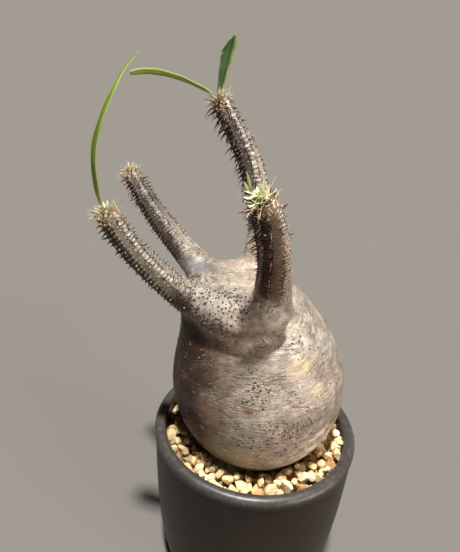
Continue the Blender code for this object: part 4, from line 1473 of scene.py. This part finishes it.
def make_bark(arms):
    """Caudex and arms in one skin, with the fork faired and the ladders raised on the arms."""
    stations = evenly([(x, y, z, r) for z, r, x, y in CAUDEX], CAUDEX_RINGS)
    body = draw_rings("bark", [tuple(value * MM for value in station) for station in stations], CAUDEX_SIDES)
    bark = join(body, [draw_arm(arm) for arm in [*arms, Arm("shoulder", SHOULDER)]])
    modify(bark, "REMESH", mode="VOXEL", voxel_size=BARK_VOXEL)
    fork = group_of(bark, "fork", fork_share(points_of(bark)))
    modify(bark, "SMOOTH", factor=0.5, iterations=3)
    modify(bark, "SMOOTH", factor=0.5, iterations=FORK_SMOOTHING, vertex_group=fork.name)
    bark.vertex_groups.clear()
    split_arm_faces(bark, arms)
    shape_bark(bark, arms)
    shade_round(bark)
    return settle(bark, silver_bark(), "bark", "caudex")


def split_arm_faces(bark, arms):
    """Halves the faces on the arms, where the ladders need them small."""
    points = points_of(bark)
    on_arm = np.zeros(len(points), bool)
    for arm in arms:
        along, apart, _ = arm.nearest(points)
        on_arm |= (along > arm.ladder_from - 5 * MM) & (apart < 1.5 * arm.radius_at(along))
    edit(bark, "FACE")
    leave_edit()
    faces = np.array([on_arm[list(p.vertices)].all() for p in bark.data.polygons])
    bark.data.polygons.foreach_set("select", faces)
    bpy.ops.object.mode_set(mode="EDIT")
    bpy.ops.mesh.subdivide(number_cuts=1)
    leave_edit()


def read_arms(points, arms):
    """For each point: how far it is on an arm, its place on that arm's ladder, and the arm's looks."""
    notes = {label: np.zeros(len(points)) for label in ("arm", "rung", "warm", *LADDER_NOTES)}
    notes |= {label: np.ones(len(points)) for label in ("rib", "age", "shine")}
    for arm in arms:
        along, apart, turn = arm.nearest(points)
        radius, begin = arm.radius_at(along), arm.ladder_from
        mine = apart < 1.6 * radius
        wander = np.zeros(len(points))
        wander[mine] = arm.stray * wander_at(points[mine])
        turn = turn + TURN_WANDER * wander
        count, rib, rung = arm.ladder(along + RUNG_WANDER * wander, turn)
        share = smooth_step(along, begin - 2 * MM, begin + 6 * MM) * mine
        share *= 1 - smooth_step(along, arm.length - 1.0 * MM, arm.length - 0.2 * MM)
        rung *= np.clip(0.8 + 1.1 * wander, 0.15, 1.3)
        read = (share, rung, rib, count, np.cos(turn), np.sin(turn), radius / MM)
        better = share > notes["arm"]
        for label, values in zip(("arm", "rung", "rib", *LADDER_NOTES), read):
            notes[label] = np.where(better, values, notes[label])
        near = mine & (along > begin - 8 * MM)
        age = np.minimum(notes["age"], 1 - (along - begin) / (arm.length - begin))
        notes["age"] = np.where(near, age, notes["age"])
        # Each arm's factor for the painted light on its lit side
        notes["shine"] = np.where(near, ARM_PAINTED_LIGHT[arm.name], notes["shine"])
        if arm.name == WARM_ARM:
            notes["warm"] = np.where(mine, smooth_step(along, begin - 14 * MM, begin + 4 * MM), 0)
    notes["age"] = np.clip(notes["age"], 0, 1)
    return notes


def mm_from(points, place):
    """Each point's distance in mm from a place given in mm."""
    return np.linalg.norm(points / MM - np.array(place), axis=1)


def body_relief(points, ring):
    """How far in mm the body's skin stands out: soft lumps, rings, and the dips round the fork."""
    soft = 0.4 * rough(points, 17 * MM, 1) + 0.16 * rough(points * np.array((1, 1, 1.8)), 6 * MM, 2)
    rings = np.sin(2 * math.pi * ring / RING_PITCH + 2.5 * rough(points, 12 * MM, 5))
    rings = rings * (0.5 + 0.5 * rough(points, 9 * MM, 6))
    place, reach, depth = SADDLE
    saddle = depth * np.exp(-((mm_from(points, place) / reach) ** 2))
    return soft + 0.07 * rings - under_shoulder(points) - saddle


def shape_bark(bark, arms):
    """Raises ribs and rungs on the arms and rings and dents on the body, and notes them all."""
    points, normals = points_of(bark), normals_of(bark)
    ring = ring_of(points)
    notes = read_arms(points, arms)
    lift = notes["arm"] * (RUNG_HEIGHT * notes.pop("rung") - GROOVE * (1 - notes["rib"]))
    lift += (1 - notes["arm"]) * body_relief(points, ring) * MM
    set_points(bark, points + normals * lift[:, None])
    level = np.interp(points[:, 0] / MM, *zip(*CRACK), left=200, right=200)
    notes |= {
        "ring": ring,
        "peel": 1 - smooth_step(mm_from(points, PEELING[0]), *PEELING[1]),
        "calm": 1 - smooth_step(mm_from(points, CALM_FORK[0]), *CALM_FORK[1]),
        "crack": np.where(points[:, 1] < 0, points[:, 2] / MM - level, 50),
        # How far each point faces the light, for the arms' painted light and shade; below it, the body's
        # painted shade
        "side": normals @ np.array(LIT_WAY),
        "dusk": painted_shade_at(points, normals),
    }
    for label, values in notes.items():
        note(bark, label, values)
    stain_and_shade_bark(bark, points)


def painted_shade_at(points, normals):
    """Painted shade: 1 at the body's left, where the skin is darkened brown for the shade there, up to about
    half under the shoulder where the skin faces down and left, and 0 on its right.
    """
    turn = np.degrees(np.arctan2(points[:, 1] - MM, points[:, 0])) % 360 + 12 * rough(points, 9 * MM, 14)
    height = points[:, 2] / MM
    left = within(turn, *PAINTED_SHADE_TURNS) * within(height, *PAINTED_SHADE_HEIGHTS)
    shoulder = within(height, *SHOULDER_HEIGHTS) * within(turn, *SHOULDER_TURNS)
    facing = 0.55 * normals[:, 0] + 0.8 * normals[:, 2]
    return np.maximum(left, SHOULDER_PAINTED_SHADE * shoulder * (1 - smooth_step(facing, -0.62, 0.12)))


def under_shoulder(points):
    """How far in mm the body is drawn in below the shoulder's fold, less its swelling above it."""
    turn = np.degrees(np.arctan2(points[:, 1] / MM, points[:, 0] / MM + 6)) % 360
    above = points[:, 2] / MM - np.interp(turn, FOLD_TURNS, FOLD_HEIGHTS)
    hollow = np.interp(turn, HOLLOW_TURNS, HOLLOW_DEPTHS) * np.exp(-(((above + 4.6) / 4.4) ** 2))
    swell = 0.7 * np.exp(-(((above - 2.5) / 2.6) ** 2))
    return (hollow - swell) * within(turn, *FOLD_SPAN)


def ring_of(points):
    """Distance in mm from the nearest arm's foot, blended: the skin's rings follow it."""
    gaps = np.linalg.norm(points[:, None] / MM - ARM_FEET[None], axis=2)
    soft = 5.0
    return -soft * np.log(np.exp(-gaps / soft).sum(1))


def stain_and_shade_bark(bark, points):
    """Patches of other colours in the skin, three of them painted shade, with ragged edges."""
    ragged = 0.35 * rough(points, 3.2 * MM, 8) + 0.2 * rough(points, 1.3 * MM, 9)
    colour = np.tile(np.array((0.4, 0.35, 0.3, 1.0)), (len(points), 1))
    share = np.zeros(len(points))
    for place, reach, tint, strength in STAINS_AND_PAINTED_SHADE:
        torn = ragged * (1.7 if reach < 4 else 1.0)
        gap = np.linalg.norm((points / MM - np.array(place)) * (1, 1, 1.5), axis=1) / reach + torn
        amount = strength * (1 - smooth_step(gap, 0.45, 1.15))
        mixed = np.maximum(share, amount)
        blend = np.where(mixed > 0, amount / np.maximum(share + amount, 1e-6), 0)
        colour[:, :3] += (np.array(tint) - colour[:, :3]) * blend[:, None]
        share = mixed
    note_colour(bark, "stain", colour)
    note(bark, "stain_share", share)


# Spines and scars


class Lot:
    """Places for copies of one pattern: a frame, a size, a bend and named values for each."""

    def __init__(self):
        self.frames, self.sizes, self.bends, self.values = [], [], [], {}

    def put(self, frame, size, bend=0.0, **values):
        self.frames.append(frame)
        self.sizes.append(size)
        self.bends.append(bend)
        for name, value in values.items():
            self.values.setdefault(name, []).append(value)

    def made(self, name, pattern):
        return copies(name, pattern, self.frames, self.sizes, self.bends, **self.values)


def frame_on(place, up, lean):
    """A frame at a place with z up and x towards lean."""
    place, up, lean = (np.array(values) for values in (place, up, lean))
    z = up / np.linalg.norm(up)
    x = lean - z * lean.dot(z)
    x /= np.linalg.norm(x)
    return np.column_stack([x, np.cross(z, x), z, place])


def skin_of(bark):
    """The bark's faces, to find places on."""
    faces = [p.vertices[:] for p in bark.data.polygons]
    return BVHTree.FromPolygons([v.co for v in bark.data.vertices], faces)


@functools.cache
def leaf_points():
    return np.vstack([evenly(np.array(leaf["route"]) * MM, 40) for leaf in LEAVES.values()])


def near_a_leaf(place, reach):
    """Whether a place is within reach of a long leaf's middle line."""
    return np.linalg.norm(leaf_points() - place, axis=1).min() < reach


def draw_spine():
    """A slender thorn one unit tall and one in radius, four-sided."""
    rings = [(0, 0, 0, 1.0), (0, 0, 0.28, 0.86), (0, 0, 0.6, 0.6), (0, 0, 0.85, 0.3), (0, 0, 1.0, 0.05)]
    return draw_rings("spine_pattern", rings, 4)


def grow_spine(rng, arm, along, turn, height, skin):
    """Root, way and length of a spine: short and often worn low on the arm, long near its crown."""
    out, radius = arm.out(along, turn), float(arm.radius_at(along))
    centre, tangent = arm.at(along, arm.points)[0], arm.at(along, arm.tangent)[0]
    usual = SPINE_SHORTEST + (SPINE_LONGEST[arm.name] - SPINE_SHORTEST) * height ** SPINE_WEAR[arm.name]
    length = usual * rng.uniform(*LENGTH_CHANCE) * (1 - LONGER_LEFT[arm.name] * (0.5 + out[0]))
    if rng.random() < 0.5 - 0.3 * height:
        length *= rng.uniform(*WORN_TO)
    hit = skin.ray_cast(Vector(centre + out * radius * 2), Vector(-out))
    root = np.array(hit[0]) if hit[0] else centre + out * radius
    rise = rng.uniform(-0.25, 0.2) + 0.25 * height**3
    way = out * math.cos(rise) + tangent * math.sin(rise)
    way += np.array([rng.gauss(0, 0.1) for _ in range(3)])
    return root, way / np.linalg.norm(way), length


def put_spines(lot, rng, arm, skin):
    """A pair of spines at the two ends of every cushion of an arm."""
    start, end = SPINES_FROM[arm.name] * arm.length, LADDER_TO * arm.length
    for along, turn in arm.cushions(start - 3 * MM):
        height = min(max((along - start) / (end - start), 0), 1)
        down = np.array((0, 0, -0.6)) - arm.at(along, arm.tangent)[0]
        for lean in (-PAIR_SPREAD, PAIR_SPREAD):
            root, way, length = grow_spine(rng, arm, along, turn + lean, height, skin)
            if near_a_leaf(root + way * length, SPINE_TO_LEAF) or rng.random() > SPINES_KEPT[arm.name]:
                continue
            thick = SPINE_RADIUS * rng.uniform(*THICKNESS_CHANCE) * (0.8 + 0.35 * height) * arm.stray**0.25
            lot.put(
                frame_on(root - way * SPINE_SUNK, way, down),
                (thick, thick * 0.8, length + SPINE_SUNK),
                length * SPINE_DROOP[arm.name] * rng.uniform(*DROOP_CHANCE),
                age=1 - height,
                luck=rng.random(),
                warm=float(arm.name == WARM_ARM),
            )


def make_spines(arms, bark):
    """The spines of every arm, and the horns by the front right crown."""
    rng = random.Random(7)
    skin = skin_of(bark)
    lot = Lot()
    for arm in arms:
        put_spines(lot, rng, arm, skin)
    for root, tip, radius in HORNS:
        root, way = np.array(root) * MM, (np.array(tip) - np.array(root)) * MM
        length = np.linalg.norm(way)
        size = (radius * MM, radius * MM, length)
        lot.put(frame_on(root, way, (0.2, 0, -1.0)), size, -0.12 * length, age=0.3, luck=0.5, warm=1.0)
    pattern = draw_spine()
    spines = lot.made("spines", pattern)
    drop(pattern)
    shade_round(spines)
    return settle(spines, horn(), "bark")


def draw_scar():
    """A scar one unit across: a raised rim round a dimple."""
    rings = [(0, 0, -0.6, 0.8), (0, 0, 0.0, 1.0), (0, 0, 0.75, 0.72), (0, 0, 1.0, 0.45), (0, 0, 0.55, 0.2)]
    return draw_rings("scar_pattern", rings, 7)


def scar_size(rng, kind):
    """Length, width and height of a scar of a kind, drawn from the kind's spans."""
    widths, lengths, heights = kind
    width = rng.uniform(*widths)
    return width * rng.uniform(*lengths), width, width * rng.uniform(*heights)


def scar_groups(rng):
    """The groups of scars seen in front, and others like them round the back."""
    groups = [(np.array(g[:3]), g[3], g[4]) for g in SCARS]
    for k in range(BACK_SCAR_GROUPS):
        first, span = BACK_SCAR_TURNS
        turn = math.radians(first + span * (k + rng.uniform(-0.4, 0.4)) / BACK_SCAR_GROUPS)
        height = rng.uniform(*BACK_SCAR_HEIGHTS)
        out = root_radius(height * MM) / MM
        place = np.array((out * math.cos(turn) - 2, out * math.sin(turn), height))
        groups.append((place, rng.uniform(*BACK_SCAR_REACH), rng.randint(*BACK_SCAR_NUMBER)))
    return groups


def put_body_scars(lot, rng, skin):
    """Scars scattered in their groups, none of them on another."""
    taken = []
    for centre, reach, number in scar_groups(rng):
        kind = SHOULDER_SCAR if centre[2] > SHOULDER_HEIGHT else BODY_SCAR
        for _ in range(number):
            away = np.array([rng.gauss(0, SCAR_SPREAD) for _ in range(3)]) * reach
            place, normal, _, _ = skin.find_nearest(Vector((centre + away) * MM))
            if any((place - other).length < SCAR_GAP for other in taken):
                continue
            taken.append(place)
            level = (-normal.y, normal.x, 0.02)
            lot.put(frame_on(place, normal, level), scar_size(rng, kind), luck=rng.random(), kind=0)


def put_ridge_scars(lot, rng, skin):
    """Long scars in short rows across the ridge, closer together towards its right end."""
    across = np.array(RIDGE_ACROSS)
    for k, spot in enumerate(evenly(RIDGE, RIDGE_COLUMNS)):
        for offset in RIDGE_OFFSETS:
            if rng.random() < 0.72 - 0.24 * (k / RIDGE_COLUMNS):
                continue
            strayed = across * (offset + rng.uniform(-0.6, 0.6)) + (rng.uniform(-0.4, 0.4), 0, 0)
            place, normal, _, _ = skin.find_nearest(Vector((spot + strayed) * MM))
            size = scar_size(rng, RIDGE_SCAR)
            lot.put(frame_on(place, normal, across), size, luck=rng.random() * 0.6, kind=0)


def put_leaf_scars(lot, rng, arm, skin):
    """Pale leaf scars between an arm's cushions."""
    for k in range(CUSHIONS):
        along = arm.ladder_from + (k + 0.75) * arm.pitch
        height = (along - arm.ladder_from) / (arm.length - arm.ladder_from)
        if height > 0.9 or rng.random() > PALE_SCARS[arm.name]:
            continue
        out = arm.out(along, k * CUSHION_TURN + rng.uniform(-0.26, 0.26))
        outside = arm.at(along, arm.points)[0] + out * 15 * MM
        place, normal, _, _ = skin.ray_cast(Vector(outside), Vector(-out))
        length, width, rise = scar_size(rng, LEAF_SCAR)
        ahead = arm.at(along, arm.tangent)[0]
        lot.put(frame_on(place, normal, ahead), (width, length, rise), luck=rng.random(), kind=1)


def make_scars(arms, bark):
    """Dark stubs where spines have fallen off the body, and pale leaf scars on the arms."""
    rng = random.Random(19)
    skin = skin_of(bark)
    lot = Lot()
    put_body_scars(lot, rng, skin)
    put_ridge_scars(lot, rng, skin)
    for arm in arms:
        put_leaf_scars(lot, rng, arm, skin)
    pattern = draw_scar()
    scars = lot.made("spine_scars", pattern)
    drop(pattern)
    shade_round(scars)
    return settle(scars, scar_tissue(), "bark")


# Crowns and leaves


def draw_blade():
    """A young leaf one unit long and one wide: pointed, folded along its middle, curled a little."""
    grid = {"x_subdivisions": 4, "y_subdivisions": 6}
    blade = begin_piece("blade_pattern", bpy.ops.mesh.primitive_grid_add, **grid, size=1)
    points = points_of(blade)
    along = points[:, 1] + 0.5
    width = np.where(along < 0.45, 0.55 + along, np.clip(1.0 - ((along - 0.45) / 0.55) ** 1.6, 0.06, 1))
    across = points[:, 0] * width
    fold = 0.35 * np.abs(across)
    set_points(blade, np.column_stack([across, fold + 0.12 * along**2, along]))
    modify(blade, "SOLIDIFY", thickness=0.12, offset=0)
    return blade


def round_tip(arm, turn):
    """The way out at a turn about an arm's growing tip."""
    return arm.side[-1] * math.cos(turn) + arm.across[-1] * math.sin(turn)


def crown_leaves(arm, rng, blade):
    """Young leaves in a spiral, the outer ones spread wider, with room left for the long leaves."""
    tip, axis, side, across = (values[-1] for values in (arm.points, arm.tangent, arm.side, arm.across))
    lot = Lot()
    for k in range(CROWN_LEAVES):
        out = round_tip(arm, k * LEAF_TURN)
        share = (k + 0.5) / CROWN_LEAVES
        lean = 0.45 + 1.2 * share + rng.uniform(-0.35, 0.6)
        way = axis + out * lean + side * rng.uniform(-0.45, 0.45) + across * rng.uniform(-0.45, 0.45)
        way /= np.linalg.norm(way)
        length = rng.uniform(*CROWN_LEAF_LENGTH) * (0.85 + 0.2 * share) * CROWN_GROWTH[arm.name]
        outwards = out * arm.radius[-1] * (0.05 + 0.7 * share)
        root = tip + axis * (CROWN_CORE_HEIGHT * (0.8 - 0.8 * share)) + outwards
        if near_a_leaf(root + way * length, CROWN_TO_LEAF):
            continue
        width = rng.uniform(*CROWN_LEAF_WIDTH)
        size = (width, width * 0.9, length)
        lot.put(frame_on(root, way, np.cross(out, axis)), size, kind=LEAF_KIND, luck=rng.random())
    for root, end, width, luck in SHOOTS.get(arm.name, ()):
        root, way = np.array(root) * MM, (np.array(end) - np.array(root)) * MM
        size = (width * MM, width * MM, np.linalg.norm(way))
        lot.put(frame_on(root, way, np.cross(way, axis)), size, kind=LEAF_KIND, luck=luck)
    return lot.made("crown_leaves", blade)


def crown_bristles(arm, rng, spine):
    """Pale bristles that stand out round the tip."""
    tip, axis = arm.points[-1], arm.tangent[-1]
    lot = Lot()
    for k in range(CROWN_BRISTLES):
        out = round_tip(arm, 2 * math.pi * (k + rng.uniform(-0.35, 0.35)) / CROWN_BRISTLES)
        rise = rng.uniform(0.0, 1.0)
        way = out * math.cos(rise) + axis * math.sin(rise)
        length = rng.uniform(*CROWN_BRISTLE_LENGTH)
        root = tip - axis * rng.uniform(0.0, 1.4) * MM + out * arm.radius[-1] * 0.72
        if near_a_leaf(root + way * length, CROWN_TO_LEAF):
            continue
        bend = length * rng.uniform(-0.12, 0.2)
        size = (*CROWN_BRISTLE_RADII, length)
        lot.put(frame_on(root, way, -axis), size, bend, kind=BRISTLE_KIND, luck=rng.random())
    return lot.made("crown_bristles", spine)


def crown_scales(arm, rng, blade):
    """Small scales in a spiral down from the tip, smaller and closer to the arm lower down."""
    axis = arm.tangent[-1]
    lot = Lot()
    for k in range(CROWN_SCALES):
        out = round_tip(arm, k * LEAF_TURN)
        along = arm.length - CROWN_SCALES_DOWN * ((k + 0.5) / CROWN_SCALES) ** 1.3
        place = arm.at(along, arm.points)[0] + out * (float(arm.radius_at(along)) - 0.35 * MM)
        way = axis * 0.75 + out * rng.uniform(0.35, 0.9)
        width = rng.uniform(*SCALE_WIDTH) * (1 - 0.35 * k / CROWN_SCALES)
        size = (width, width, rng.uniform(*SCALE_LENGTH) * (1 - 0.4 * k / CROWN_SCALES))
        lot.put(frame_on(place, way, np.cross(out, axis)), size, kind=SCALE_KIND, luck=rng.random())
    return lot.made("crown_scales", blade)


def crown_core(arm):
    """The downy lump in the middle of a crown."""
    pattern = begin_piece("core_pattern", bpy.ops.mesh.primitive_ico_sphere_add, subdivisions=3, radius=1)
    lumpy = points_of(pattern)
    set_points(pattern, lumpy * (1 + 0.12 * rough(lumpy, 0.35, 3))[:, None])
    wide = arm.radius[-1] * 0.72
    lot = Lot()
    tip_frame = np.column_stack([arm.side[-1], arm.across[-1], arm.tangent[-1], arm.points[-1]])
    lot.put(tip_frame, (wide, wide, 0.8 * CROWN_CORE_HEIGHT), kind=CORE_KIND, luck=0.5)
    core = lot.made("crown_core", pattern)
    drop(pattern)
    return core


def make_crown(arm, blade, spine, finish):
    """The growing tip of an arm: downy core, young leaves, pale bristles and scales below."""
    rng = random.Random(f"crown {arm.name}")
    leaves = crown_leaves(arm, rng, blade)
    crown = join(leaves, [crown_bristles(arm, rng, spine), crown_scales(arm, rng, blade), crown_core(arm)])
    crown.name = crown.data.name = f"crown_{arm.name}"
    shade_round(crown, 50)
    return settle(crown, finish, "young_leaf", f"tuft_{arm.name}")


def leaf_width(leaf, along):
    """A long leaf's width from foot to tip."""
    widest, tip = leaf["widest"], leaf["tip"]
    swell = np.sin(math.pi / 2 * np.minimum(along / widest, 1))
    rising = LEAF_FOOT_WIDTH + (leaf["width"] - LEAF_FOOT_WIDTH) * swell
    share = np.clip((along - widest) / (1 - widest), 0, 1)
    falling = leaf["width"] * (tip + (1 - tip) * np.cos(math.pi / 2 * share) ** leaf.get("taper", 0.8))
    return np.where(along < widest, rising, falling)


def read_along(values, at):
    """Rows of values spread evenly over a length of 1, read at places on it."""
    where = np.linspace(0, 1, len(values))
    return np.column_stack([np.interp(at, where, column) for column in values.T])


def make_leaf(name, leaf):
    """A long leaf: a strip laid along its route, folded on its midrib, with rippled edges."""
    grid = {"x_subdivisions": LEAF_GRID[0], "y_subdivisions": LEAF_GRID[1]}
    blade = begin_piece(name.replace("leaf_", "long_leaf_"), bpy.ops.mesh.primitive_grid_add, **grid, size=1)
    points = points_of(blade)
    across, along = points[:, 0] * 2, points[:, 1] + 0.5
    route = evenly(np.array(leaf["route"]) * MM, 200)
    way = read_along(travelling_frames(route)[0], along)
    upper = np.array(leaf["upper"], float)
    upper_at_tip = np.array(leaf.get("upper_at_tip", upper), float)
    sideways = np.cross(way, upper + (upper_at_tip - upper) * along[:, None])
    sideways /= np.linalg.norm(sideways, axis=1)[:, None]
    width = leaf_width(leaf, along)
    cup = np.abs(across) ** 1.4 * LEAF_FOLD * width / 2
    ripple = LEAF_RIPPLE * width * np.sin(along * 23 + across * 1.5) * np.abs(across)
    raised = np.cross(sideways, way) * (cup + ripple)[:, None]
    placed = read_along(route, along) + sideways * (across * width / 2)[:, None] + raised
    if leaf["notch"]:
        end = smooth_step(along, 0.5, 1.0)
        torn = 0.5 - 0.5 * across + 0.1 * np.sin(9 * across)
        placed -= way * (end * leaf["notch"] * torn)[:, None]
    set_points(blade, placed)
    note(blade, "across", across * leaf.get("pale_and_highlight_side", 1))
    note(blade, "along", along)
    modify(blade, "SOLIDIFY", thickness=LEAF_THICKNESS, offset=0)
    modify(blade, "SUBSURF", levels=1, render_levels=1)
    shade_round(blade)
    return settle(blade, leaf_green(f"{name}_green", leaf["deep"]), "leaf", name)


# Studio


def make_floor():
    """A wide pale floor, even enough to meet the backdrop without a line."""
    disc = {"vertices": 96, "radius": 4, "fill_type": "NGON"}
    floor = begin_piece("studio_floor", bpy.ops.mesh.primitive_circle_add, **disc)
    f = Finish("pale_floor")
    tone = f.ramp(f.cloud(6, 3), (0.3, (0.165, 0.1566, 0.1453)), (0.7, (0.1691, 0.1608, 0.1490)))
    floor.data.materials.append(f.wear(Base_Color=tone, Roughness=0.9, Specular_IOR_Level=0.0))


def hang_lamp(name, way, energy, angle, color):
    """A lamp that shines on the plant's middle from this way; a wider angle gives softer shadows."""
    lamp = bpy.data.lights.new(name, "SUN")
    lamp.energy, lamp.angle, lamp.color = energy, math.radians(angle), color
    stand = bpy.data.objects.new(name, lamp)
    bpy.context.scene.collection.objects.link(stand)
    aim = Vector(LAMP_AIM)
    stand.location = aim + Vector(way).normalized() * LAMP_AWAY
    stand.rotation_euler = (aim - stand.location).to_track_quat("-Z", "Y").to_euler()


def hang_backdrop():
    """The floor's colour as far as the horizon, and a dark room above it."""
    world = bpy.data.worlds.new("studio")
    bpy.context.scene.world = world
    world.use_nodes = True
    nodes, links = world.node_tree.nodes, world.node_tree.links
    way, height, band = (nodes.new(f"ShaderNode{kind}") for kind in ("TexCoord", "SeparateXYZ", "ValToRGB"))
    links.new(way.outputs["Generated"], height.inputs[0])
    links.new(height.outputs[2], band.inputs[0])
    links.new(band.outputs[0], nodes["Background"].inputs["Color"])
    for step, (where, colour) in zip(band.color_ramp.elements, BACKDROP):
        step.position = where
        step.color = (*colour, 1)


def set_camera():
    ahead = Vector((0, math.cos(CAMERA_PITCH), -math.sin(CAMERA_PITCH)))
    level = Vector((1, 0, 0))
    above = level.cross(ahead)
    right = level * math.cos(CAMERA_ROLL) + above * math.sin(CAMERA_ROLL)
    up = above * math.cos(CAMERA_ROLL) - level * math.sin(CAMERA_ROLL)
    camera = bpy.data.cameras.new("camera")
    camera.sensor_width = 36
    camera.lens = CAMERA_LENS
    camera.clip_start = 5 * MM
    holder = bpy.data.objects.new("camera", camera)
    bpy.context.scene.collection.objects.link(holder)
    turned = Matrix((right, up, -ahead)).transposed().to_4x4()
    holder.matrix_world = Matrix.Translation(CAMERA_PLACE) @ turned
    bpy.context.scene.camera = holder
    bpy.context.scene.view_settings.view_transform = "Standard"


def main():
    make_floor()
    for name, looks in LAMPS.items():
        hang_lamp(name, *looks)
    hang_backdrop()
    set_camera()
    frame["nodes"]["soil"].data.materials[0] = potting_soil()
    frame["nodes"]["drain_net"].data.materials[0] = mesh_plastic()
    make_pot()
    make_pumice_bed()
    make_pumice()
    arms = [Arm(name, stations) for name, stations in ARMS.items()]
    bark = make_bark(arms)
    make_spines(arms, bark)
    make_scars(arms, bark)
    blade, spine = draw_blade(), draw_spine()
    finish = crown_green()
    for arm in arms:
        make_crown(arm, blade, spine, finish)
    drop(blade)
    drop(spine)
    for name, leaf in LEAVES.items():
        make_leaf(name, leaf)


main()
